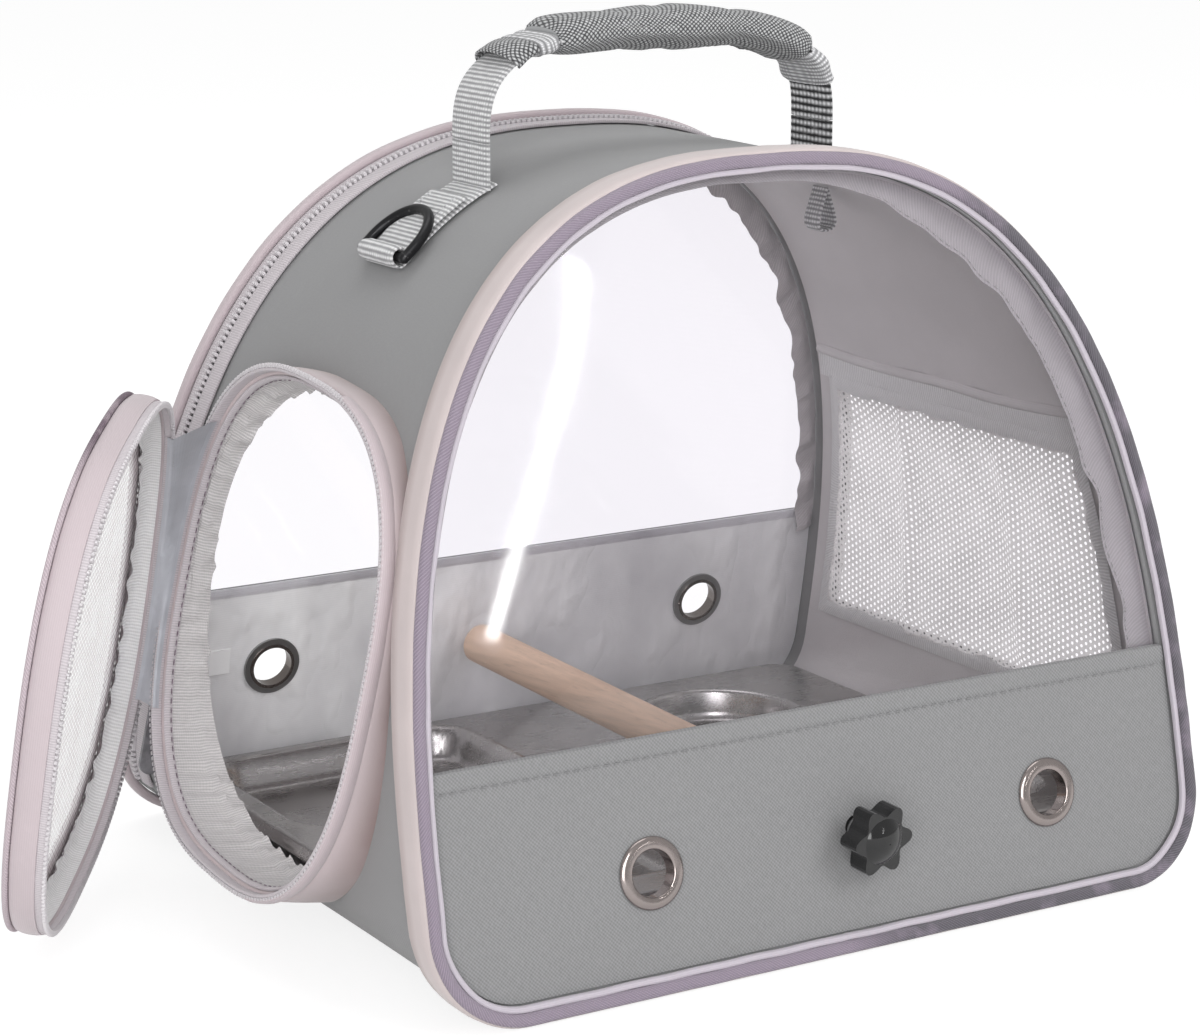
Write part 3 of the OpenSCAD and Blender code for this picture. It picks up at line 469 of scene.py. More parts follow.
def rolled(name, rgb, edge, clean, under):
    """Smooth piping cloth with painted shade: a brownish edge colour is mixed in where it turns under,
    ramping in along v between the last two arguments.
    """
    s = Shader(name)
    rgb = linear(rgb)
    p, _, v = s.uv()
    fine = s.noise(p, 0.6, 1.0)
    wide = s.ramp(s.noise(p, 26.0, 3.0), 0.3, 0.7)
    # Painted shade: fold mixes the brownish edge colour in where the piping turns under.
    fold = s.math("MULTIPLY", s.ramp(v, clean, under), s.math("MULTIPLY_ADD", wide, 0.4, 0.6))
    colour = s.mix(fold, s.mix(wide, plain(rgb, 0.95), plain(rgb, 1.04)), linear(edge))
    colour = s.mix(s.math("MULTIPLY", fine, 0.15), colour, plain(rgb, 0.8))
    n = s.bump(s.noise(p, 15.0, 3.0), 0.5, 0.8, s.bump(fine, 0.03, 0.5))
    roughness = s.math("MULTIPLY_ADD", fine, 0.12, 0.52)
    return s.finish(s.surface(colour, roughness, n, 0.35, Sheen_Weight=0.35))


GREY = cloth("grey_cover", (140, 140, 141), "oxford", 1.35, contrast=0.34, depth=0.16, wrinkle=0.9,
             crease=46.0, mottle=0.06)
GREY_WALL = cloth("grey_wall", (147, 147, 148), "oxford", 1.0, contrast=0.12, depth=0.08, wrinkle=1.0,
                  crease=60.0)
# The contrast of these satins is painted highlight and shade on their creases.
LINER = satin("liner_grey", (224, 220, 221), rough=0.55, wrinkle=1.8, crease=44.0, contrast=0.06)
SATIN = satin("satin_silver", (250, 249, 252), rough=0.38, wrinkle=5.0, crease=30.0, contrast=0.26)
STRIP = satin("satin_strip", (190, 192, 199), rough=0.42, wrinkle=1.8, crease=14.0, contrast=0.12,
              metallic=0.1)
PINK = cloth("pink_piping", (196, 183, 187), "plain", 0.7, contrast=0.05, depth=0.04, rough=0.6, sheen=0.35,
             wrinkle=0.5, crease=16.0, spec=0.35)
BINDING = cloth("purple_binding", (156, 149, 159), "braid", 1.3, contrast=0.3, depth=0.35, rough=0.7,
                dark=(104, 98, 108))
DARK_EDGE = cloth("dark_edging", (150, 130, 144), "braid", 1.2, contrast=0.3, depth=0.3, rough=0.7,
                  dark=(96, 82, 94))
RIBBON = cloth("light_ribbon", (206, 203, 203), "rib", 1.1, contrast=0.36, depth=0.22, rough=0.6, sheen=0.3,
               wrinkle=0.6, crease=7.0)
# A lighter copy of the ribbon: its raised colour is painted light, to make up for the shade it hangs in on
# the door and round the side net.
PAINTED_LIGHT_RIBBON = cloth("painted_light_ribbon", (246, 244, 245), "rib", 1.2, contrast=0.3, depth=0.22, rough=0.6,
                    sheen=0.5, wrinkle=0.7, crease=7.0)
BACK_RIBBON = cloth("back_ribbon_cloth", (192, 187, 189), "twill", 1.3, contrast=0.16, depth=0.16, rough=0.75,
                    wrinkle=1.4, crease=9.0)
SOFT_RIBBON = cloth("soft_ribbon", (196, 192, 194), "twill", 1.3, rough=0.8, sheen=0.3, wrinkle=1.1,
                    crease=11.0, spec=0.15)
RIM_TAPE = cloth("lilac_edge", (192, 185, 194), "plain", 0.8, contrast=0.08, depth=0.1, rough=0.45,
                 wrinkle=0.6, crease=8.0, spec=0.35)
TAPE = cloth("zip_tape", (202, 195, 199), "rib", 0.9, contrast=0.24, depth=0.16, rough=0.7)
TEETH = cloth("zip_teeth", (214, 210, 213), "plain", 0.6, contrast=0.06, depth=0.05, rough=0.35, spec=0.5,
              sheen=0.0)
WEB = cloth("webbing_light", (228, 228, 229), "web", 1.7, contrast=0.3, depth=0.6, rough=0.7, sheen=0.25,
            dark=(150, 150, 152), jitter=0.1)
WEB_DARK = cloth("webbing_grey", (226, 226, 228), "web", 2.6, contrast=0.3, depth=1.0, rough=0.75, sheen=0.15,
                 dark=(20, 20, 22), jitter=0.1)
BAND = cloth("folded_band", (222, 222, 224), "web", 1.7, contrast=0.2, depth=0.4, rough=0.65, wrinkle=0.6,
             crease=6.0, dark=(140, 140, 142), jitter=0.15)
GRIP = cloth("grip_cloth", (178, 179, 180), "basket", 1.75, contrast=0.5, depth=0.35, wrinkle=0.9,
             crease=20.0,
             dark=(62, 62, 64), jitter=0.15)
DOOR_CORD = edging("door_edging", (205, 190, 197), (128, 108, 122), 122, 235)
FRONT_CORD = edging("front_edging", (156, 144, 159), (112, 108, 116), 25, 390)
# Each roll's third colour is painted shade, mixed in where the roll turns under.
FRONT_ROLL = rolled("front_roll_cloth", (205, 193, 192), (158, 138, 134), 12.5, 18.5)
COLLAR = rolled("collar_cloth", (200, 186, 188), (142, 120, 116), 9.0, 0.0)
NET = net_cloth("side_net", (247, 244, 244), 2.3, 1.35, hexed=True, through=0.5)
DOOR_NET = net_cloth("door_net", (255, 250, 251), 2.4, 0.12, hexed=False, through=0.65)
FILM = film("clear_film")
BLACK_WIRE = metal("black_wire", (38, 38, 40), rough=0.32, weight=0.6, wear=0.5)
GUNMETAL = metal("gunmetal", (132, 124, 120), rough=0.15, depth=0.003)
EYELET = metal("eyelet_bright", (172, 162, 159), rough=0.16, depth=0.003)
ZINC = metal("zinc", (168, 168, 168), rough=0.36)
STEEL = metal("pressed_steel", (176, 173, 172), rough=0.24, brush=(0.08, 1.0, 1.0), depth=0.006)
BRASS = metal("brass", (176, 150, 96), rough=0.34)
SLIDER = metal("slider_metal", (150, 147, 150), rough=0.34, weight=0.8)
PADDLE = glossy_plastic("paddle_grey", (128, 127, 131), 0.42)
KNOB = glossy_plastic("knob_black", (9, 9, 10), 0.07)
WOOD = wood("perch_wood", (232, 202, 178), (0.063, 0.0, -0.087))
LABEL = cloth("white_label", (255, 255, 255), "plain", 0.5, contrast=0.03, depth=0.04, rough=0.5)
BOARD = glossy_plastic("board_grey", (84, 84, 88), 0.6)


# Mesh making
def new_object(name, verts, faces, uvs, mat, smooth=50):
    """Object from millimetres, with uvs for each face corner. Edges over smooth degrees stay sharp."""
    me = bpy.data.meshes.new(name)
    me.from_pydata((np.asarray(verts, float) * MM).tolist(), [], faces)
    me.uv_layers.new(name="weave").data.foreach_set("uv", np.asarray(uvs, np.float32).ravel())
    me.materials.append(mat)
    me.shade_smooth()
    me.set_sharp_from_angle(angle=rad(smooth))
    o = bpy.data.objects.new(name, me)
    bpy.context.scene.collection.objects.link(o)
    return o


def grid(name, P, mat, loop_u=False, loop_v=False, uv=None, smooth=50, flip=False):
    """Quads over P (nu, nv, 3). A looped side's last row repeats its first and is joined to it."""
    P = np.array(P, float)
    nu, nv = P.shape[:2]
    if loop_u:
        P[-1] = P[0]
    if uv is None:
        du = np.linalg.norm(np.diff(P, axis=0), axis=2).mean(1)
        dv = np.linalg.norm(np.diff(P, axis=1), axis=2).mean(0)
        uv = weave_uv(np.concatenate([[0], np.cumsum(du)]), np.concatenate([[0], np.cumsum(dv)]))
    mu, mv = nu - loop_u, nv - loop_v
    I, J = np.meshgrid(np.arange(nu - 1), np.arange(nv - 1), indexing="ij")
    I, J = I.ravel(), J.ravel()
    cs = [(I, J), (I + 1, J), (I + 1, J + 1), (I, J + 1)]
    if flip:
        cs = cs[::-1]
    faces = np.column_stack([(a % mu) * mv + (b % mv) for a, b in cs])
    uvs = np.stack([uv[a, b] for a, b in cs], 1).reshape(-1, 2)
    return new_object(name, P[:mu, :mv].reshape(-1, 3), faces.tolist(), uvs, mat, smooth)


def weave_uv(u, v):
    return np.stack(np.meshgrid(u, v, indexing="ij"), -1)


def sway(seed, *parts, after=-1, before=99):
    """Uneven inset of the columns of a band between after and before."""
    return lambda q, j: (waves(q, seed, *parts) * (j > after) * (j < before), 0 * q)


def band(name, at, ks, s, profile, mat, loop=True, wobble=None, flip=False):
    """Closed profile of (inset, depth) pairs swept along ks. wobble(s, j) -> (inset, depth) added."""
    A = np.tile(np.array([a for a, d in profile], float), (len(ks), 1))
    Z = np.tile(np.array([d for a, d in profile], float), (len(ks), 1))
    if wobble is not None:
        da, dd = wobble(s[:, None] + 0 * A, np.arange(len(profile))[None, :] + 0 * A)
        A, Z = A + da, Z + dd
    P = at(np.asarray(ks)[:, None] + 0 * A, A, Z)
    return grid(name, np.concatenate([P, P[:, :1]], 1), mat, loop_u=loop, loop_v=True, flip=flip)


def round_profile(a0, a1, d0, d1, r, n=5):
    """Outline of a band's cross-section with rounded corners, as (inset, depth) pairs."""
    out = []
    for cx, cy, t0 in ((a1 - r, d1 - r, 0), (a0 + r, d1 - r, 90), (a0 + r, d0 + r, 180),
                       (a1 - r, d0 + r, 270)):
        for t in np.radians(t0 + 90 * np.arange(n + 1) / n):
            out.append((cx + r * math.cos(t), cy + r * math.sin(t)))
    return out


def teeth(name, at, curve, lo, hi, pitch, box, mat):
    """Zip teeth: small blocks along the way, narrower on the a0 side of their box (a0, a1, d0, d1)."""
    a0, a1, d0, d1 = box
    k, s = even(curve, lo, hi, pitch)
    half = np.maximum(np.interp(s + pitch * 0.28, s, k) - k, 1e-5)
    mid, reach = (d0 + d1) / 2, (d1 - d0) / 2
    verts, faces, uvs = [], [], []
    for i, c in enumerate(k[:-1]):
        base = len(verts)
        for a, wide, deep in ((a1, 1.0, 1.0), (a0 + 0.35, 0.95, 0.9), (a0, 0.5, 0.55)):
            w = half[i] * wide
            kk = np.array([c - w, c + w, c + w, c - w])
            verts.extend(at(kk, np.full(4, a), mid + reach * deep * np.array([-1, -1, 1, 1])))
        for r in (base, base + 4):
            faces += [[r + q, r + (q + 1) % 4, r + 4 + (q + 1) % 4, r + 4 + q] for q in range(4)]
        faces.append([base + 8, base + 9, base + 10, base + 11])
        uvs.extend([(s[i], 0), (s[i] + 1, 0), (s[i] + 1, 1), (s[i], 1)] * 9)
    return new_object(name, verts, faces, uvs, mat, smooth=35)


def tape(name, path, width, thick, mat):
    """Flat webbing along path, its width along y."""
    path = np.asarray(path, float)
    tan = np.gradient(path, axis=0)
    tan /= np.linalg.norm(tan, axis=1)[:, None]
    up = np.cross(tan, (0.0, 1.0, 0.0))
    up /= np.linalg.norm(up, axis=1)[:, None]
    cols = np.linspace(-1, 1, 9)
    sec = [(c, 0.5 if abs(c) < 0.99 else 0.2) for c in cols]
    sec += [(c, -h) for c, h in sec[::-1]]
    sec += sec[:1]
    P = np.stack([path + np.array([0, c * width / 2, 0]) + up * h * thick for c, h in sec], 1)
    uv = weave_uv(run(path), np.array([c * width / 2 for c, h in sec]))
    o = grid(name, P, mat, loop_v=True, uv=uv, smooth=60)
    return cap_ends(o, len(path), len(sec) - 1)


def edit(o, change):
    """Runs change(bm) on the mesh of o."""
    bm = bmesh.new()
    bm.from_mesh(o.data)
    change(bm)
    bm.to_mesh(o.data)
    bm.free()
    return o


def cap_ends(o, nu, nv):
    """Closes both ends of an open tube made by grid."""
    def caps(bm):
        bm.verts.ensure_lookup_table()
        for row in (list(range(nv)), [(nu - 1) * nv + j for j in range(nv)][::-1]):
            bm.faces.new([bm.verts[i] for i in row])
    return edit(o, caps)


def outward(o):
    return edit(o, lambda bm: bmesh.ops.recalc_face_normals(bm, faces=bm.faces))


def welded(o):
    edit(o, lambda bm: bmesh.ops.remove_doubles(bm, verts=bm.verts, dist=1e-6))
    o.data.shade_smooth()
    return o


def prism(a, b):
    """Cutting tool: closed solid between two outlines of the same length, in mm."""
    n = len(a)
    faces = [list(range(n))[::-1], [n + i for i in range(n)]]
    faces += [[i, (i + 1) % n, n + (i + 1) % n, n + i] for i in range(n)]
    me = bpy.data.meshes.new("tool")
    me.from_pydata((np.concatenate([a, b]) * MM).tolist(), [], faces)
    o = bpy.data.objects.new("tool", me)
    bpy.context.scene.collection.objects.link(o)
    return outward(o)


def cut(o, tool, how="DIFFERENCE"):
    """Boolean with a tool that is then thrown away."""
    m = o.modifiers.new("cut", "BOOLEAN")
    m.operation, m.solver, m.object = how, "EXACT", tool
    me = bpy.data.meshes.new_from_object(o.evaluated_get(bpy.context.evaluated_depsgraph_get()))
    o.modifiers.clear()
    old, o.data = o.data, me
    bpy.data.meshes.remove(old)
    bpy.data.objects.remove(tool)


def smooth_again(o):
    o.data.shade_smooth()
    o.data.set_sharp_from_angle(angle=rad(40))
    return o


def lathe(name, profile, place, mat, steps):
    """Profile of (radius, height) turned about local z and placed by place(points)."""
    t = np.linspace(0, 2 * PI, steps + 1)
    P = np.array([[(r * math.cos(a), r * math.sin(a), h) for r, h in profile] for a in t])
    return grid(name, place(P.reshape(-1, 3)).reshape(P.shape), mat, loop_u=True, smooth=60)


def stitches(name, path, up, mat, length=2.4, gap=1.3, r=0.32, lift=0.2):
    """Sewing thread along a path: short rounded stitches lying on the cloth."""
    path, up = np.asarray(path, float), np.broadcast_to(np.asarray(up, float), np.shape(path))
    s = run(path)
    verts, faces, uvs = [], [], []
    at = 0.0
    while at + length < s[-1]:
        p0, p1, n = (np.array([np.interp(q, s, of[:, c]) for c in range(3)])
                     for q, of in ((at, path), (at + length, path), (at, up)))
        n /= np.linalg.norm(n)
        b = np.cross(n, (p1 - p0) / np.linalg.norm(p1 - p0))
        base = len(verts)
        for f, q in ((0.0, 0.25), (0.2, 0.9), (0.8, 0.9), (1.0, 0.25)):
            c = p0 + (p1 - p0) * f + n * (lift if 0.1 < f < 0.9 else 0.0)
            verts += [c + (n * math.cos(w) + b * math.sin(w)) * r * q for w in np.arange(6) * PI / 3]
        for row in (base, base + 6, base + 12):
            faces += [[row + a, row + (a + 1) % 6, row + 6 + (a + 1) % 6, row + 6 + a] for a in range(6)]
            uvs += [(at, 0), (at, 1), (at + 1, 1), (at + 1, 0)] * 6
        at += length + gap
    return new_object(name, verts, faces, uvs, mat)


def fine_stitches(name, path, up, mat):
    return stitches(name, path, up, mat, length=2.2, gap=1.2, r=0.22, lift=0.1)


def put(o, body, slot, *nodes):
    """Gives a piece its body and hides the CAD nodes it stands for. slot is not used."""
    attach(o, body)
    if nodes:
        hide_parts(*nodes)


# Cover and lining
def doorway_tool():
    t = np.linspace(0, 2 * PI, 121)[:-1]
    x, y = oval_at(t, 5.0)
    return prism(*(ring(np.column_stack([x, y, 0 * x + n])) for n in (-60, 40)))


def mesh_row(z, e):
    """Front and back end of the net's window at height z, let out by e."""
    return face_y(z) + MESH_FRONT - e, -face_y(z) - MESH_BACK + e


def mesh_tool():
    pts = []
    for z, order in ((MESH_Z0, 1), (MESH_Z1, -1)):
        pts += [(y, z) for y in np.linspace(*mesh_row(z, 0), 12)[::order]]
    return prism(*(np.column_stack([np.full(len(pts), x), pts]) for x in (90.0, 200.0)))


def shell(name, outer, inner, d0, d1, mat, dents, seed):
    """Closed layer between two insets of the arch, from d0 behind the front to d1 ahead of the back."""
    def at(k, i, v):
        x, z = arch_at(k, i)
        y0, y1 = face_y(z) + d0, -face_y(z) - d1
        return np.stack([x, y0 + (y1 - y0) * v, z], -1)

    ks, s = arch_ks(5.0)
    vs = np.concatenate([[0, 0.006, 0.014, 0.025], np.linspace(0.045, 0.955, 30), [0.975, 0.986, 0.994, 1]])
    S, V = s[:, None] + 0 * vs, vs + 0 * s[:, None]
    soft = 0.5 + 0.5 * waves(S + 130 * V, seed, (150, 0.8)) * waves(190 * V + 0.35 * S, seed + 1, (95, 1.0))
    edge = np.exp(-(V / 0.02) ** 2) + np.exp(-((1 - V) / 0.02) ** 2)
    mid = np.clip(np.minimum(V, 1 - V) * 8, 0, 1)
    A = outer + dents * np.clip(soft, 0, 1.3) * mid + dents * 0.8 * edge
    K = ks[:, None] + 0 * A
    P = at(K, A, V)
    P = np.concatenate([P, at(K, inner + 0 * A, V)[:, ::-1], P[:, :1]], 1)
    uv = weave_uv(s, np.concatenate([vs * 200, 210 + vs * 200, [420]]))
    o = outward(grid(name, P, mat, loop_u=True, loop_v=True, uv=uv))
    cut(o, doorway_tool())
    cut(o, mesh_tool())
    return smooth_again(o)


put(shell("cover", 4.0, 7.0, 3.3, 12.4, GREY_WALL, 0.7, 3), "shell", "grey_cover", "body_wrap")
put(shell("lining", 7.3, 8.3, 6.3, 12.4, LINER, 0.0, 9), "shell", "satin", "body_lining")


# Bottom of the cover: a board in woven cloth with a rolled edge
def rounded_rect(w, d, r, n=8):
    out = []
    for q, (sx, sy) in enumerate(((1, 1), (-1, 1), (-1, -1), (1, -1))):
        for t in np.radians(90 * q + 90 * np.arange(n + 1) / n):
            out.append((sx * (w / 2 - r) + r * math.cos(t), sy * (d / 2 - r) + r * math.sin(t)))
    return np.array(out)


def plate(name, outline, cy, levels, mat):
    """Closed pad: levels are (draw in, z), from the middle of the top over the edge to the middle below."""
    size = np.abs(outline).max(0)
    P = np.stack([np.column_stack([outline * (1 - inset / size) + (0.0, cy), np.full(len(outline), z)])
                  for inset, z in levels], 1)
    P = np.concatenate([P, P[:1]], 0)
    o = grid(name, P, mat, loop_u=True, uv=P[:, :, :2].copy())

    def fill(bm):
        bmesh.ops.holes_fill(bm, edges=[e for e in bm.edges if e.is_boundary], sides=0)
    return outward(edit(o, fill))


BASE_LEVELS = [(60, 3.6), (20, 3.6), (4, 3.55), (1.5, 3.3), (0.4, 2.6), (0, 1.8), (0.4, 0.9), (1.5, 0.2),
               (4, 0.0), (60, 0.0)]
put(plate("base_cloth", rounded_rect(243.4, 227.6, 12), 1.3, BASE_LEVELS, BINDING),
    "shell", "dark_binding", "base_cover")

# Front rim
ks, s = arch_ks(3.0)
ROLL = [(3.7, 3.2), (3.2, 1.2), (2.2, 0.2), (1.1, 0.1), (0.4, 1.0), (0.1, 3.5), (0.05, 7.0), (0.1, 10.5),
        (0.35, 12.8), (1.0, 14.2), (2.2, 14.9), (3.7, 15.0)]
o = band("front_roll", front, ks, s, ROLL, FRONT_ROLL,
         wobble=sway(5, (40, 0.06), (13, 0.03), after=4, before=9))
put(o, "shell", "pink_piping", "front_piping")
ks, s = arch_ks(2.0)
o = band("front_cord", front, ks, s, round_profile(1.2, 5.3, -1.9, 1.6, 1.7), FRONT_CORD,
         wobble=lambda q, j: (waves(q, 7, (30, 0.06)), waves(q, 8, (18, 0.08))))
put(o, "shell", "dark_binding", "front_binding")
o = band("front_cord_edge", front, ks, s, round_profile(5.2, 7.2, -0.5, 1.7, 0.7, 3), RIM_TAPE,
         wobble=sway(17, (30, 0.12)))
put(o, "shell", "dark_binding")

# Gathered ribbon round the inside of the window: broad and puckered from the top to the right, a narrow
# hem at the left
ks, s = arch_ks(1.6, above=PANEL_TOP - TUCK)
us = np.linspace(0, 1, 11)
S, T = s[:, None] + 0 * us, us + 0 * s[:, None]
wide = 2.2 + 8.4 / (1 + np.exp((S / s[-1] - 0.41) / 0.025))
pucker = np.clip(wide / 10, 0, 1) ** 2
curl = waves(S, 21, (46, 1.0), (19, 0.35))
free = waves(S, 22, (70, 1.0), (27, 0.4))
A = 7.5 + T * (wide + 1.1 + 1.3 * free * pucker) + 0.12 * curl
Dp = 6.5 + 1.5 * np.sin(PI * T) * (0.7 + 0.3 * curl) * pucker + T ** 1.3 * 1.1 * (0.6 + curl) * pucker
Dp = np.maximum(Dp, 6.1)
put(grid("front_ruffle", front(ks[:, None] + 0 * A, A, Dp), SOFT_RIBBON), "shell", "ribbon", "front_ribbon")
seam = front(ks, A[:, 9], Dp[:, 9] - 0.15)[3:int(len(ks) * 0.42)]
put(fine_stitches("front_ruffle_thread", seam, (0, -0.98, 0.2), RIBBON), "shell", "ribbon")


# Front panel and window
def slab(name, xs, zs, d_out, d_in, place, mat):
    """Closed panel: d_out(x, z) and d_in(x, z) are depths behind the face."""
    X, Z = np.meshgrid(xs, zs, indexing="ij")
    verts = np.concatenate([place(X, d(X, Z), Z).reshape(-1, 3) for d in (d_out, d_in)])
    nx, nz = X.shape

    def at(i, j, side):
        return side * nx * nz + i * nz + j

    faces, uvs = [], []
    for i in range(nx - 1):
        for j in range(nz - 1):
            q = [(i, j), (i + 1, j), (i + 1, j + 1), (i, j + 1)]
            faces += [[at(a, b, 0) for a, b in q], [at(a, b, 1) for a, b in q[::-1]]]
            uvs += [(xs[a], zs[b]) for a, b in q] + [(xs[a] + 400, zs[b]) for a, b in q[::-1]]
    rim = [(i, 0) for i in range(nx)] + [(nx - 1, j) for j in range(1, nz)]
    rim += [(i, nz - 1) for i in range(nx - 2, -1, -1)] + [(0, j) for j in range(nz - 2, 0, -1)]
    for (a, b), (c, d) in zip(rim, rim[1:] + rim[:1]):
        faces.append([at(a, b, 1), at(c, d, 1), at(c, d, 0), at(a, b, 0)])
        uvs += [(xs[a], zs[b]), (xs[c], zs[d]), (xs[c], zs[d] + 1), (xs[a], zs[b] + 1)]
    return outward(new_object(name, verts, faces, uvs, mat))


def arch_tool(place):
    x, z = arch_at(arch_ks(4.0)[0][:-1], PANEL_IN)
    return prism(place(x, -20 + 0 * x, z), place(x, 30 + 0 * x, z))


def face_frame(x, z, place, d):
    """Point d behind the face and the face's own axes there."""
    c = place(np.array(float(x)), np.array(float(d)), np.array(float(z)))
    n = np.array([0, math.copysign(math.cos(LEAN), c[1]), math.sin(LEAN)])
    e1 = np.array([1.0, 0, 0])
    return c, e1, np.cross(n, e1), n


def hole_tool(x, z, r, place):
    t = np.linspace(0, 2 * PI, 49)[:-1, None]
    c, e1, e2, n = face_frame(x, z, place, 3.0)
    a = c + r * (np.cos(t) * e1 + np.sin(t) * e2)
    return prism(a - 15 * n, a + 15 * n)


def panel_depth(top):
    """Outer side of a lower panel: a doubled hem at its top edge, pressed in at the seam, and soft swells."""
    def d(x, z):
        hem = 0.5 / (1 + np.exp(-(z - (top - 6.2)) / 0.5))
        seam = 0.45 * np.exp(-((z - (top - 6.2)) / 0.9) ** 2)
        swell = 0.35 * np.sin(x / 31.0 + 0.6) * np.sin(z / 19.0) + 0.2 * np.sin(x / 13.0 + z / 9.0)
        return 2.35 - hem + seam - 0.3 * swell
    return d


def flat(d):
    return lambda x, z: d + 0 * x


xs = np.linspace(-150, 150, 91)
zs = np.concatenate([np.linspace(4, 72, 22), np.linspace(73.5, PANEL_TOP - 0.5, 14), [PANEL_TOP]])
panel = slab("front_cloth", xs, zs, panel_depth(PANEL_TOP), flat(4.5), front_place, GREY)
cut(panel, arch_tool(front_place), "INTERSECT")
for x in FRONT_EYELETS:
    cut(panel, hole_tool(x, FRONT_EYELET_Z, EYELET_CUT, front_place))
cut(panel, hole_tool(BOLT_X, BOLT_Z, BOLT_CUT, front_place))
put(smooth_again(panel), "shell", "grey_cover", "front_panel")
x = np.linspace(-144, 144, 140)
hem_z = PANEL_TOP - 6.4
hem = front_place(x, panel_depth(PANEL_TOP)(x, hem_z) - 0.1, hem_z + 0 * x)
put(stitches("front_hem_thread", hem, (0, -0.98, 0.2), GREY), "shell", "grey_cover")


def window(name, z_from, place, bulge, rows=14, n_low=40):
    """Film stretched over an arched opening, bowed out in the middle."""
    x, z = arch_at(arch_ks(4.0, above=z_from)[0], FILM_IN)
    x, z = (np.concatenate([q, np.linspace(q[-1], q[0], n_low + 2)[1:]]) for q in (x, z))
    middle = z_from + 0.42 * (H - z_from)
    r = np.linspace(1, 0.0, rows + 1)[None, :]
    X, Z = x[:, None] * r, middle + (z[:, None] - middle) * r
    P = place(X, FILM_D - bulge * (1 - r ** 2) ** 1.1 + 0 * X, Z)
    return welded(grid(name, P, FILM, loop_u=True, uv=np.stack([X, Z], -1)))


put(window("front_film", PANEL_TOP - TUCK, front_place, 3.5), "shell", "clear_film", "front_window")


def eyelet(name, x, z, place, mat):
    """Pressed eyelet: rolled flange outside, barrel through the panel."""
    prof = [(7.75, -3.9), (7.8, 0.6)]
    prof += [(7.75 + 0.9 * (1 - math.cos(a)), 0.6 + 0.75 * math.sin(a)) for a in np.radians((25, 50, 75, 90))]
    prof += [(9.6, 1.42), (10.6, 1.28), (11.4, 0.9), (11.8, 0.4), (11.95, 0.02), (9.0, 0.0), (9.0, -3.9),
             (7.75, -3.9)]
    c, *axes = face_frame(x, z, place, 2.0)
    return lathe(name, prof, lambda p: c + p @ np.array(axes), mat, 56)


for x, word, nodes in zip(FRONT_EYELETS, ("left", "right"), (["front_eyelets"], [])):
    put(eyelet("front_eyelet_" + word, x, FRONT_EYELET_Z, front_place, EYELET), "shell", "gunmetal", *nodes)

# Window net in the right wall
zz = np.linspace(MESH_Z0 - NET_UNDER, MESH_Z1 + NET_UNDER, 46)
Yf, Z = np.meshgrid(np.linspace(0, 1, 60), zz, indexing="ij")
y0, y1 = mesh_row(Z, NET_UNDER)
Y = y0 + (y1 - y0) * Yf
free = np.clip(np.minimum(np.minimum(Y - y0, y1 - Y), np.minimum(Z - zz[0], zz[-1] - Z)) / 14, 0, 1)
pleats = 2.4 * np.exp(-((Y - 34 + 0.05 * (Z - 90)) / 4) ** 2)
pleats = pleats + 1.8 * np.exp(-((Y + 34 - 0.12 * (Z - 90)) / 5) ** 2)
sag = 1.3 + 1.1 * np.sin(Y / 11.0 + 0.4 * np.sin(Z / 17)) + 0.6 * np.sin(Y / 31.0 + Z / 40)
slack = free * (sag + pleats)
X = arch_x(Z, 9.0) - np.clip(slack, 0, 5)
put(grid("side_net", np.stack([X, Y, Z], -1), NET, uv=np.stack([Y, Z], -1)), "shell", "net", "side_mesh")


def mesh_loop(e, n=44):
    """Outline of the net's window let out by e, as (y, z)."""
    z0, z1 = MESH_Z0 - e, MESH_Z1 + e
    (a, b), (c, d) = mesh_row(z0, e), mesh_row(z1, e)
    cs = np.array([(a, z0), (b, z0), (d, z1), (c, z1)])
    pts = [cs[i] + (cs[(i + 1) % 4] - cs[i]) * f for i in range(4) for f in np.linspace(0, 1, n + 1)[:-1]]
    return np.array(pts + pts[:1])


def mesh_band(name, loops, lifts, mat, flip=False):
    """Band round the net's window: each loop lies on the arch drawn in by its lift."""
    P = np.stack([np.column_stack([arch_x(q[:, 1], lift), q]) for q, lift in zip(loops, lifts)], 1)
    put(grid(name, P, mat, loop_u=True, flip=flip), "shell", "ribbon",
        *(() if flip else ("side_mesh_border",)))


# Taped edge round the net, with an uneven inner edge, and its facing outside
loops = [mesh_loop(e) for e in (4.9, 3.4, 1.7, 0.0, -1.3)]
q = loops[4]
inwards = q.mean(0) - q
uneven = waves(run(loops[2]), 31, (23, 0.9), (9, 0.4))
loops[4] = q + inwards / np.linalg.norm(inwards, axis=1)[:, None] * uneven[:, None]
mesh_band("side_net_tape", loops, (9.3, 9.75, 9.95, 9.9, 9.4), PAINTED_LIGHT_RIBBON)
mesh_band("side_net_facing", [mesh_loop(e) for e in (5.2, 2.6, 0.2, -0.6, -0.6)], (3.6, 3.05, 3.1, 3.9, 5.6),
          RIBBON, flip=True)

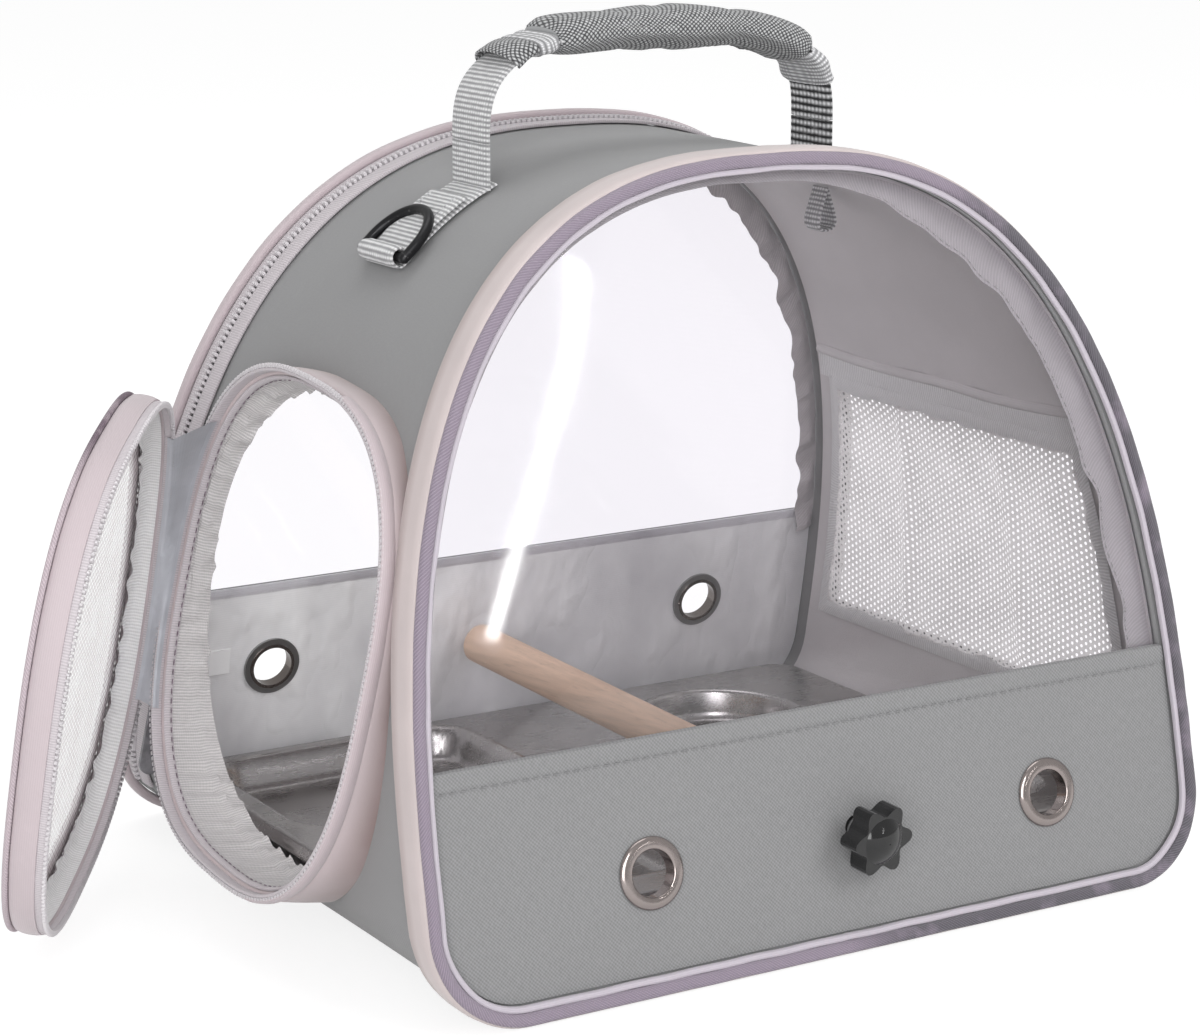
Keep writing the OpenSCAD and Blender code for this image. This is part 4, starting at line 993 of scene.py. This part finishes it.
# Hem of the lining that hangs a little over the top of the net, and the strip of ribbon below it
f = np.linspace(0, 1, 70)
droop = 2.2 * np.sin(PI * f) + 0.8 * np.sin(9 * f) * np.sin(PI * f)
LINER_HEM = ((2.4, 8.4), (1.6, 9.3), (0.4, 9.9), (-0.8, 9.9), (-1.5, 9.3), (-1.2, 8.7))
NET_HEM = ((-0.9, 8.6), (-2.5, 9.0), (-5.0, 9.3), (-8.0, 9.2), (-10.8, 9.4))
for name, profile, mat, slot in (("liner_hem", LINER_HEM, LINER, "satin"),
                                 ("net_hem", NET_HEM, PAINTED_LIGHT_RIBBON, "ribbon")):
    rows = []
    for dz, inset in profile:
        z = MESH_Z1 + 15.0 - droop + dz
        y0, y1 = face_y(z) + 17.5, -face_y(z) - 14.5
        rows.append(np.stack([arch_x(z, inset + 0.3 * np.sin(23 * f) * np.sin(PI * f)), y0 + (y1 - y0) * f,
                              z], -1))
    put(grid(name, np.stack(rows, 1), mat, smooth=180), "shell", slot)

# Loop under the ceiling
t = np.linspace(0, 1, 25)
LOOP_AT = 74.0
path = np.stack([LOOP_AT + 3.6 * np.sin(2 * PI * t) * (1 - 0.3 * np.cos(2 * PI * t)), 0 * t,
                 arch_z(LOOP_AT, 8.8) - 0.6 - 15.5 * np.sin(PI * t)], -1)
put(tape("ceiling_loop", path, 9.0, 1.2, WEB), "shell", "webbing", "toy_loop")


# Straps and handle
def strap(side, word, mat):
    """Webbing down the shoulder, round the D-ring's bar and back up under itself."""
    x = np.linspace(66.5, LOOP_X - 1.2, 26)
    over = np.column_stack([x, arch_z(x, 2.9)])
    c = np.array([LOOP_X, LOOP_Z])
    start = over[-1] - c
    turn = (math.atan2(start[1], start[0]) + np.linspace(0, rad(285), 30))[1:]
    r = np.interp(np.arange(29), [0, 4], [np.linalg.norm(start), LOOP_R - 0.8])
    loop = c + np.column_stack([np.cos(turn), np.sin(turn)]) * r[:, None]
    x = np.linspace(loop[-1][0] - 2.5, 78.0, 16)
    p = np.concatenate([over, loop, np.column_stack([x, arch_z(x, 1.1)])])
    for _ in range(2):
        p[1:-1] = (p[:-2] + 2 * p[1:-1] + p[2:]) / 4
    return tape("strap_tape_" + word, np.column_stack([side * p[:, 0], 0 * p[:, 0], p[:, 1]]), WEB_W - 0.4,
                1.4, mat)


for side, word, mat in ((-1, "left", WEB), (1, "right", WEB_DARK)):
    put(strap(side, word, mat), "shell", "webbing", "strap_" + word)
    x = np.linspace(80, 96, 8)
    for y, row in ((-8.5, "a"), (8.5, "b")):
        p = np.column_stack([side * x, 0 * x + y, arch_z(x, 1.1) + 0.85])
        put(stitches("strap_thread_%s_%s" % (word, row), p, (side * 0.5, 0, 0.85), BAND), "shell", "webbing")
    foot_z = arch_z(FOOT, 2.9)
    z = np.linspace(foot_z - 0.6, FOLD_Z - 0.3, 16)
    o = tape("handle_foot_" + word, np.column_stack([side * FOOT + 0 * z, 0 * z, z]), WEB_W, 1.6, mat)
    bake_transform(o)
    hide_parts("handle_neck_" + word)


def handle_at(t):
    """Upper side of the handle's arc, t from 0 at the right foot to pi at the left one."""
    c, q = np.cos(t), np.sin(t)
    return np.stack([FOOT * np.sign(c) * np.abs(c) ** (2 / HANDLE_P), 0 * t,
                     FOLD_Z + RISE * np.abs(q) ** (2 / HANDLE_P)], -1)


for word, lo, hi, mat, nodes in (("right", 0, PI / 2, WEB_DARK, []),
                                 ("left", PI / 2, PI, WEB, ["handle_web"])):
    path = handle_at(even(handle_at, lo, hi, 2.5)[0])
    put(tape("handle_tape_" + word, path, WEB_W, 1.6, mat), "handle", "webbing", *nodes)


def arc_frame(x0, x1, n):
    """n points of the handle's arc between two places across, with the way out at each."""
    t = np.linspace(0, PI, 4000)
    lo, hi = np.interp([-x1, -x0], -handle_at(t)[:, 0], t)
    c = handle_at(np.linspace(lo, hi, n))
    tan = np.gradient(c, axis=0)
    tan /= np.linalg.norm(tan, axis=1)[:, None]
    up = np.cross(tan, [0, 1, 0])
    return c, up * np.sign(up[:, 2].sum())


def around(c, up, y, z):
    """Points y across and z out from each point of the arc."""
    return c[:, None] + np.array([0, 1, 0]) * y[..., None] + up[:, None] * z[..., None]


def sleeve(name, x0, x1, w, th, mat, n, steps, ends, power, wob):
    """Padded sleeve round the handle's arc."""
    c, up = arc_frame(x0, x1, n)
    f = np.linspace(0, 1, n)
    fade = 1 - (1 - ends) * (np.exp(-f / 0.035) + np.exp(-(1 - f) / 0.035))
    a = np.linspace(0, 2 * PI, steps + 1)
    ca, sa = np.cos(a), np.sin(a)
    ey, ez = np.sign(ca) * np.abs(ca) ** (2 / power), np.sign(sa) * np.abs(sa) ** (2 / power)
    scale = fade[:, None] * (1 + wob(f[:, None], a[None, :]))
    P = around(c, up, ey * w / 2 * scale, ez * th / 2 * scale)
    P[:, -1] = P[:, 0]
    uv = weave_uv(run(c), a / (2 * PI) * 2 * (w + th) * 0.8)
    return cap_ends(grid(name, P, mat, loop_v=True, uv=uv), n, steps)


grip = sleeve("grip_sleeve", GRIP_END, GRIP_END + GRIP_L, GRIP_W * 0.95, GRIP_T * 0.92, GRIP, 90, 56, 0.78,
              2.6,
              lambda f, a: 0.03 * np.sin(f * 19 + 2 * np.sin(a)) * np.sin(a + 0.4))


def puffed(o, cap, voxel=0.003, frames=20):
    """Blows a copy up as cloth, then moves the points of o towards it, by no more than cap metres."""
    pad = o.copy()
    pad.data = o.data.copy()
    bpy.context.scene.collection.objects.link(pad)
    m = pad.modifiers.new("remesh", "REMESH")
    m.mode, m.voxel_size = "VOXEL", voxel
    me = bpy.data.meshes.new_from_object(pad.evaluated_get(bpy.context.evaluated_depsgraph_get()))
    pad.modifiers.clear()
    pad.data = me
    c = pad.modifiers.new("cloth", "CLOTH")
    c.settings.use_pressure, c.settings.uniform_pressure_force = True, 4.0
    c.settings.effector_weights.gravity = 0.0
    c.settings.quality = 6
    c.point_cache.frame_end = frames
    for f in range(1, frames + 1):
        bpy.context.scene.frame_set(f)
    done = bpy.data.meshes.new_from_object(pad.evaluated_get(bpy.context.evaluated_depsgraph_get()))
    bpy.context.scene.frame_set(1)
    tree = BVHTree.FromPolygons([v.co.copy() for v in done.vertices],
                                [tuple(p.vertices) for p in done.polygons])
    for v in o.data.vertices:
        hit = tree.find_nearest(v.co)[0]
        if hit is not None:
            v.co += v.normal * max(-cap / 3, min(cap, (hit - v.co).dot(v.normal)))
    bpy.data.objects.remove(pad)
    o.data.update()


puffed(grip, 0.0022)
co = np.array([v.co for v in grip.data.vertices])
nrm = np.array([v.normal for v in grip.data.vertices])
gx, gy = co[:, 0] / MM, co[:, 1] / MM
# Creases across the grip: place, slant, width and depth of each
CREASES = ((4, 0.35, 3.2, 0.9), (-14, -0.3, 2.8, 0.7), (34, 0.25, 3.0, 0.6))
pinch = sum(deep * np.exp(-((gx - x0 - slant * gy) / wide) ** 2) for x0, slant, wide, deep in CREASES)
swell = 0.5 * np.sin(gx / 7.3 + 0.5 * np.sin(gy / 5)) * np.exp(-(np.maximum(np.abs(gy) - 12, 0) / 4) ** 2)
co = co + nrm * ((swell - pinch) * MM)[:, None]
grip.data.vertices.foreach_set("co", co.ravel())
grip.data.update()
put(grip, "handle", "grip", "handle_grip")
for word, x0, nodes in (("left", GRIP_END - 8.3, ["grip_bands"]), ("right", GRIP_END + GRIP_L + 0.3, [])):
    o = sleeve("grip_band_" + word, x0, x0 + 8, 28.6, 6.4, BAND, 12, 36, 0.85, 3.4,
               lambda f, a: 0.05 * np.sin(f * 9 + a))
    put(o, "handle", "webbing", *nodes)

# Flap of the sleeve's cloth, rolled over the webbing outside the left band
c, up = arc_frame(GRIP_END - 17.5, GRIP_END - 8.6, 12)
a = np.radians(np.linspace(-18, 198, 26))[None, :]
f = np.linspace(0, 1, 12)[:, None]
uneven = 1 + 0.06 * np.sin(3 * a + 4 * f)
wz = 2.3 + 1.5 * f + 0.8 * np.sin(PI * f)
flap = grid("grip_flap", around(c, up, np.cos(a) * 13.6 * uneven, 0.6 + np.sin(a) * wz * uneven), GRIP)
m = flap.modifiers.new("thick", "SOLIDIFY")
m.thickness, m.offset = 0.7 * MM, 1
put(flap, "handle", "grip")


# Side door's collar
def wall_n(t, inset, skin, lo=-40.0, hi=8.0):
    """Height in the ring frame at which the oval, drawn in by inset, meets the arch drawn in by skin."""
    out = []
    for q in t:
        a, b = lo, hi
        for _ in range(40):
            m = (a + b) / 2
            p = on_ring(np.array([q]), np.array([float(inset)]), np.array([m]))[0]
            inside = 0 < p[2] < H - skin and abs(p[0]) < arch_x(p[2], skin)
            a, b = (m, b) if inside else (a, m)
        out.append((a + b) / 2)
    return np.array(out)


def columns(pairs):
    """Insets and heights as two arrays, one column for each pair."""
    return np.stack([a for a, n in pairs], 1), np.stack([n for a, n in pairs], 1)


ts, s = oval_ts(3.0)
n_out, n_in = wall_n(ts, 0.0, 4.6), wall_n(ts, 3.0, 6.0)
shoulder = RIM_N - 1.0
uneven = 0.12 * waves(s, 41, (35, 1.0))
rows = [(uneven - 0.25 * math.sin(PI * f), n_out + (shoulder - n_out) * f) for f in np.linspace(0, 1, 6)]
rows += [(1.5 - 1.5 * math.cos(a) + 0 * s, shoulder + math.sin(a) + 0 * s)
         for a in np.radians((30, 60, 90, 120, 150))]
rows += [(3.0 + 0 * s, shoulder + (n_in - shoulder) * f) for f in np.linspace(0, 1, 6)]
Ii, Nn = columns(rows)
o = grid("door_collar", on_ring(ts[:, None] + 0 * Ii, Ii, Nn), COLLAR, loop_u=True, flip=True)
put(o, "shell", "pink_piping", "door_ring")

# Gathered ribbon inside the collar: it lines the collar and turns round the edge of the doorway
ts, s = oval_ts(1.3)
n_edge, n_deep = wall_n(ts, 4.0, 4.0), wall_n(ts, 5.0, 8.3)
low = 0.6 + 0.4 * np.clip(0.55 - 0.75 * np.sin(ts + 0.5), 0, 1)
ruf = waves(s, 43, (9, 1.0), (5, 0.3)) * low
ruf2 = waves(s, 44, (13, 1.0), (7, 0.35)) * low
Ii, Nn = columns([(3.3 + 0 * s, RIM_N - 1.6 + 0 * s), (3.4 + 0.1 * ruf, RIM_N - 3.2 + 0 * s),
                  (3.9 + 0.55 * ruf, (RIM_N + n_edge) / 2 - 1.6), (4.4 + 0.7 * ruf, n_edge + 1.4),
                  (5.7 + 0.7 * ruf, n_edge - 0.6), (5.9 + 0.8 * ruf2, (n_edge + n_deep) / 2 - 0.6),
                  (6.2 + 1.2 * ruf2, n_deep + 0.3 + 0.5 * ruf), (6.5 + 1.9 * ruf2,
                                                                 n_deep - 0.9 + 1.1 * ruf2)])
Ii[:, 4:] = np.maximum(Ii[:, 4:], 5.35)
P = on_ring(ts[:, None] + 0 * Ii, np.maximum(Ii, 3.3), Nn)
put(grid("collar_ruffle", P, RIBBON, loop_u=True, flip=True), "shell", "ribbon", "ring_ribbon")

ts, s = oval_ts(3.0)
FACING = [(3.05, 7.4), (3.6, 7.6), (4.15, 7.1), (4.25, 5.9), (4.15, 4.8), (3.7, 4.4), (3.4, 4.6)]
o = grid("collar_facing", on_ring(*np.broadcast_arrays(ts[:, None], *columns(
    [(a + 0.12 * waves(s, 46, (12, 1.0)) * (1 < j < 5), n + 0 * s) for j, (a, n) in enumerate(FACING)]))),
    TAPE, loop_u=True, flip=True)
put(o, "shell", "zip_tape")
axis = on_ring(ts, 20.0, 5.3) - on_ring(ts, 4.3, 5.3)
put(fine_stitches("collar_thread", on_ring(ts, 4.25, 5.3), axis, DARK_EDGE), "shell", "ribbon")
o = band("collar_tape", on_ring, ts, s, round_profile(0.75, 1.9, 7.5, 11.35, 0.4, 2), TAPE)
put(o, "shell", "zip_tape", "ring_zip_tape")
o = teeth("collar_teeth", on_ring, oval_line, 0, 2 * PI, 2.0, (-0.75, 0.75, 10.1, 11.4), TEETH)
put(o, "shell", "zip_teeth", "ring_zip_teeth")

# Roll that covers the zip from outside along the collar's front side
ts = oval_ts(3.0, -1.45, 1.35)[0]
lift = np.clip((np.cos(ts) + 0.05) / 0.3, 0, 1)[:, None] ** 0.7
A = np.array([[0.5, 0.2, -0.5, -1.0, -1.05, -0.6, -0.1]])
Nn = np.array([[8.2, 11.2, 11.5, 10.6, 9.0, 7.4, 6.4]])
P = on_ring(ts[:, None] + 0 * A, A * (0.3 + 0.7 * lift), 6.6 + (Nn - 6.6) * lift)
put(grid("collar_roll", P, PINK, flip=True), "shell", "pink_piping")

# Hinge strip that the door hangs on, on the inner side of the two zip halves
ts, s = oval_ts(2.0, PI - 0.62, PI + 0.5)
sag = 0.25 * waves(s, 71, (21, 1.0), (9, 0.4))
rows = [place(ts, inset + 0 * ts, n + 0 * ts)
        for place, order, depths in ((on_ring, 1, (9.0, 10.2, 11.2)), (on_door, -1, (12.2, 13.2, 14.2)))
        for inset, n in zip((2.2, 2.4 + 0.3 * sag, (2.55 if order > 0 else 2.6) + sag)[::order], depths)]
P = np.stack(rows[:3] + [(rows[2] + rows[3]) / 2] + rows[3:], 1)
strip = grid("hinge_satin", P, STRIP, smooth=180)
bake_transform(strip)
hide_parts("door_hinge_strip")

# Side door
ts, s = oval_ts(3.0)
DOOR_ROLL = [(0.1, 15.3), (-0.35, 17.0), (-0.5, 19.0), (-0.45, 21.0), (-0.1, 22.8), (0.6, 23.6), (1.6, 23.4),
             (2.1, 22.4), (2.05, 19.0), (1.95, 15.4)]
DOOR_FRAME = [(2.2, 24.9), (4, 25.0), (8, 24.8), (12.6, 24.6), (14, 24.2), (13.6, 23.7), (8, 23.65),
              (2.4, 23.7)]
for name, profile, mat, wobble, slot, node in (
        ("door_roll", DOOR_ROLL, PINK, sway(51, (30, 0.12)), "pink_piping", "door_gusset"),
        ("door_edge", round_profile(-0.6, 1.6, 23.85, 25.8, 0.9), DOOR_CORD, None, "dark_binding",
         "door_piping"),
        ("door_frame_tape", DOOR_FRAME, PINK, sway(52, (22, 0.3), after=2, before=6), "pink_piping",
         "door_border")):
    put(band(name, on_door, ts, s, profile, mat, wobble=wobble), "side_door", slot, node)
rr = np.linspace(1, 0, 20)
x, y = oval_at(ts, 2.2)
X, Y = x[:, None] * rr, y[:, None] * rr
bow = (0.2 * np.sin(X / 12) - 0.25) * (1 - rr ** 2)
o = grid("door_net_cloth", swung(np.stack([X, Y, 22.95 + bow], -1)), DOOR_NET, loop_u=True,
         uv=np.stack([X, Y], -1))
put(welded(o), "side_door", "net", "door_net")
ts, s = oval_ts(1.8)
A, Nn = columns([(2.35 + 0 * s, 16.2 + 0 * s), (2.6 + 0 * s, 19.6 + 0 * s),
                 (4.2 + 0.3 * waves(s, 55, (14, 1)), 21.4 + 0.3 * waves(s, 56, (10, 1))),
                 (6.4 + 0.4 * waves(s, 53, (26, 1)), 21.9 + 0.4 * waves(s, 57, (13, 1))),
                 (8.3 + 0.5 * waves(s, 54, (30, 1), (12, 0.3)), 21.7 + 0.6 * waves(s, 58, (12, 1)))])
o = grid("door_ruffle", on_door(ts[:, None] + 0 * A, A, Nn), PAINTED_LIGHT_RIBBON, loop_u=True, flip=True)
put(o, "side_door", "ribbon", "door_ribbon")
ts, s = oval_ts(3.0)
o = band("door_tape", on_door, ts, s, round_profile(0.5, 1.8, 12.8, 15.5, 0.4, 2), TAPE)
put(o, "side_door", "zip_tape", "door_zip_tape")
o = teeth("door_teeth", on_door, oval_line, 0, 2 * PI, 2.0, (0.15, 2.1, 11.8, 13.1), TEETH)
put(o, "side_door", "zip_teeth", "door_zip_teeth")

# Back: zip and door
ks, s = arch_ks(3.0, above=18.0)
for word, body, d0, d1, t0, t1, kind in (("body", "shell", 13.9, 22.4, 12.5, 13.8, "back_zip_"),
                                         ("door", "back_door", 5.6, 10.7, 10.7, 12.0, "back_door_")):
    o = band("back_tape_" + word, back, ks, s, round_profile(2.5, 3.7, d0, d1, 0.4, 2), TAPE, loop=False)
    put(o, body, "zip_tape", kind + "tape")
    o = teeth("back_teeth_" + word, back, arch_line, ks[0], ks[-1], 2.2, (1.3, 3.6, t0, t1), TEETH)
    put(o, body, "zip_teeth", kind + "teeth")
ks, s = arch_ks(3.0)
o = band("back_roll", back, ks, s, round_profile(0.05, 3.7, 0.05, 5.2, 1.6), PINK,
         wobble=sway(61, (34, 0.08)))
put(o, "back_door", "pink_piping", "back_binding")
o = band("back_side", back, ks, s, round_profile(4.0, 7.0, 0.7, 11.9, 0.6, 2), GREY_WALL)
put(o, "back_door", "grey_cover", "back_gusset")

zs = np.concatenate([np.linspace(4, 79, 24), np.linspace(80.5, BACK_TOP - 0.5, 14), [BACK_TOP]])
panel = slab("back_cloth", xs, zs, panel_depth(BACK_TOP), flat(3.4), back_place, GREY)
inner = slab("back_satin", xs, zs, flat(3.5), flat(4.45), back_place, SATIN)
for piece in (panel, inner):
    cut(piece, arch_tool(back_place), "INTERSECT")
    for x in BACK_EYELETS:
        cut(piece, hole_tool(x, BACK_EYELET_Z, EYELET_CUT, back_place))
put(smooth_again(panel), "back_door", "grey_cover", "back_panel")
put(smooth_again(inner), "back_door", "satin")
put(window("back_film", BACK_TOP - 1.5, back_place, 2.0), "back_door", "clear_film", "back_window")
for x, word, nodes in zip(BACK_EYELETS, ("left", "right"), (["back_eyelets"], [])):
    put(eyelet("back_eyelet_" + word, x, BACK_EYELET_Z, back_place, GUNMETAL), "back_door", "gunmetal",
        *nodes)

# Gathered ribbon round the inside of the back window
ks, s = arch_ks(1.6, above=BACK_TOP - TUCK)
S, T = s[:, None] + 0 * us, us + 0 * s[:, None]
curl = waves(S, 81, (24, 1.0), (10, 0.4))
free = waves(S, 82, (30, 1.0), (13, 0.6))
A = 7.45 + T * (8.6 + 0.8 * free) + 0.15 * curl
Dp = np.maximum(6.0 + 1.7 * np.sin(PI * T) * (0.6 + 0.5 * curl) + T * 0.9 * (0.7 + curl), 5.9)
put(grid("back_ruffle", back(ks[:, None] + 0 * A, A, Dp), BACK_RIBBON, flip=True),
    "back_door", "ribbon", "back_ribbon")


# Tray and cup
def box_distance(x, y, cx, cy, w, d, r):
    """Distance to a rounded rectangle, below 0 inside."""
    qx, qy = np.abs(x - cx) - (w / 2 - r), np.abs(y - cy) - (d / 2 - r)
    return np.hypot(np.maximum(qx, 0), np.maximum(qy, 0)) + np.minimum(np.maximum(qx, qy), 0) - r


def tray_z(x, y):
    """Height of the pressed sheet: wells with raised rims, a rim at the cup's hole, a rolled edge."""
    z = np.full(x.shape, 24.2)
    for well in WELLS:
        g = box_distance(x, y, *well, 16)
        z = z - 12.1 / (1 + np.exp((g + 3.4) / 0.95)) - 0.5 * np.clip(-g / 40, 0, 1)
        z = z + 0.35 * np.exp(-((g - 0.6) / 1.2) ** 2)
    g = np.hypot(x - CUP_X, y - CUP_Y) - 33
    z = z + 0.5 * np.exp(-((g - 2.2) / 1.3) ** 2) * (g > -1)
    return z - 3.6 / (1 + np.exp(-(box_distance(x, y, *TRAY) + 1.3) / 0.45))


def trim(bm):
    """Takes away the sheet outside the tray's outline and over the cup's hole."""
    out = []
    for v in bm.verts:
        x, y = v.co.x / MM, v.co.y / MM
        if box_distance(x, y, *TRAY) > 0.15 or math.hypot(x - CUP_X, y - CUP_Y) < 32.6:
            out.append(v)
    bmesh.ops.delete(bm, geom=out, context="VERTS")


X, Y = np.meshgrid(np.concatenate([[-139, -138.4], np.linspace(-137, 137, 184), [138.4, 139]]),
                   np.concatenate([[-102, -101.4], np.linspace(-100, 110, 142), [111.4, 112]]), indexing="ij")
sheet = edit(grid("pressed_tray", np.stack([X, Y, tray_z(X, Y)], -1), STEEL), trim)
m = sheet.modifiers.new("sheet", "SOLIDIFY")
m.thickness, m.offset = 0.5 * MM, -1
sheet.data.shade_smooth()
put(sheet, "tray", "steel", "tray")
CUP = [(0.01, 13.2), (24, 13.2), (28, 13.5), (30.2, 14.6), (31.1, 17.0), (31.5, 24.2), (32.2, 25.2),
       (33.4, 25.7),
       (34.8, 25.6), (35.5, 25.1), (35.4, 24.7), (33.5, 24.9), (32.2, 24.4), (31.9, 17), (30.6, 13.6), (28,
                                                                                                        12.4),
       (0.01, 12.2)]
put(lathe("round_cup", CUP, lambda p: p + np.array([CUP_X, CUP_Y, 0]), STEEL, 64), "cup", "steel", "food_cup")

# Carried-over solids: finish, and softened edges of that width in mm
for mat, width, nodes in ((BLACK_WIRE, 0, ("d_ring_left", "d_ring_right")), (BOARD, 0, ("base_board",)),
                          (ZINC, 0, ("front_eyelet_washers", "back_eyelet_washers", "perch_bolt",
                                     "perch_washer",
                                     "knob_washer")),
                          (BRASS, 0, ("knob_insert",)), (KNOB, 0.8, ("star_knob",)), (WOOD, 0.8, ("perch",)),
                          (LABEL, 0, ("care_label",)), (SLIDER, 0.4, ("door_zip_slider", "back_zip_slider")),
                          (PADDLE, 0.5, ("door_zip_pull", "back_zip_pull"))):
    for node in nodes:
        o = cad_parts[node]
        o.data.materials.clear()
        o.data.materials.append(mat)
        if width:
            m = o.modifiers.new("edge", "BEVEL")
            m.width, m.segments, m.limit_method, m.angle_limit = width * MM, 3, "ANGLE", rad(32)
            m.harden_normals = False
        for p in o.data.polygons:
            p.use_smooth = True
        o.data.set_sharp_from_angle(angle=rad(38))

# Floor, lamps, camera
scene = bpy.context.scene
scene.view_settings.view_transform = "Standard"

s = Shader("floor")
white = s.node("ShaderNodeBsdfDiffuse", {"Color": (0.9, 0.9, 0.9, 1)}).outputs[0]
glow = s.node("ShaderNodeEmission", {"Color": (1, 1, 1, 1), "Strength": 0.82}).outputs[0]
seen = s.node("ShaderNodeLightPath").outputs["Is Camera Ray"]
dark = s.node("ShaderNodeBsdfDiffuse", {"Color": (0.3, 0.3, 0.3, 1)}).outputs[0]
both = s.node("ShaderNodeAddShader", {0: dark, 1: glow}).outputs[0]
s.finish(s.node("ShaderNodeMixShader", {0: seen, 1: white, 2: both}).outputs[0])
me = bpy.data.meshes.new("floor")
me.from_pydata([(-6, -6, 0), (6, -6, 0), (6, 6, 0), (-6, 6, 0)], [], [(0, 1, 2, 3)])
me.materials.append(s.mat)
floor = bpy.data.objects.new("floor", me)
scene.collection.objects.link(floor)

scene.world = bpy.data.worlds.new("studio")
scene.world.use_nodes = True
w = Nodes(scene.world.node_tree, "ShaderNodeOutputWorld")
room = w.node("ShaderNodeBackground", {1: 0.62}).outputs[0]
view = w.node("ShaderNodeBackground", {1: 1.0}).outputs[0]
path = w.node("ShaderNodeLightPath").outputs
straight = w.math("MAXIMUM", path["Is Camera Ray"], path["Is Transmission Ray"])
w.finish(w.node("ShaderNodeMixShader", {0: straight, 1: room, 2: view}).outputs[0])


def lamp(name, at, to, size, power):
    """Area lamp: size is its side, or its width and height, in metres."""
    data = bpy.data.lights.new(name, "AREA")
    data.energy = power
    if isinstance(size, tuple):
        data.shape, (data.size, data.size_y) = "RECTANGLE", size
    else:
        data.shape, data.size = "SQUARE", size
    o = bpy.data.objects.new(name, data)
    o.location = at
    o.rotation_euler = (Vector(to) - Vector(at)).to_track_quat("-Z", "Y").to_euler()
    scene.collection.objects.link(o)
    return o


lamp("key", (1.0, -2.2, 1.7), (0, 0, 0.1), 1.4, 26).visible_glossy = False
lamp("glint", (-0.9, -1.7, 1.5), (0, 0, 0.1), 0.26, 8.0).visible_diffuse = False
lamp("fill", (-1.7, -2.2, 0.8), (0, 0, 0.12), 1.8, 40)
lamp("top", (0.1, 0.4, 2.4), (0, 0, 0.1), 1.6, 14)


def mirrored(x, z, reach):
    """Where a ray from the camera that meets the front film at x, z has gone after that many metres."""
    p = np.array([x, face_y(z) + 3.0, z]) * MM
    bow = np.array([0, -math.cos(LEAN), math.sin(LEAN)]) + np.array([x / 155.0, 0,
                                                                     (z - 150.0) / 130.0]) * 0.055
    bow /= np.linalg.norm(bow)
    d = (p - EYE) / np.linalg.norm(p - EYE)
    return p + (d - 2 * d.dot(bow) * bow) * reach


# A tall narrow softbox, which the bowed film shows as a bright streak
hi, lo = mirrored(-74, 236, 1.3), mirrored(-118, 132, 1.3)
mid = Vector((hi + lo) / 2)
up = Vector(hi - lo).normalized()
away = (mid - Vector((0, -0.1, 0.15))).normalized()
side = up.cross(away).normalized()
streak = lamp("streak", mid, (0, 0, 0.1), (0.013, float(np.linalg.norm(hi - lo))), 0.3)
streak.visible_diffuse = False
streak.matrix_world = Matrix.Translation(mid) @ Matrix((side, up, side.cross(up))).transposed().to_4x4()

cam = bpy.data.cameras.new("camera")
cam.lens, cam.sensor_width, cam.clip_start = 96.0, 36.0, 0.01
camera = bpy.data.objects.new("camera", cam)
right, above = Vector((0.8554, -0.5181, 0.0)), Vector((0.1183, 0.1954, 0.9737))
ahead = Vector((0.5044, 0.8328, -0.2284))
camera.matrix_world = Matrix.Translation(EYE) @ Matrix((right, above, -ahead)).transposed().to_4x4()
scene.collection.objects.link(camera)
scene.camera = camera
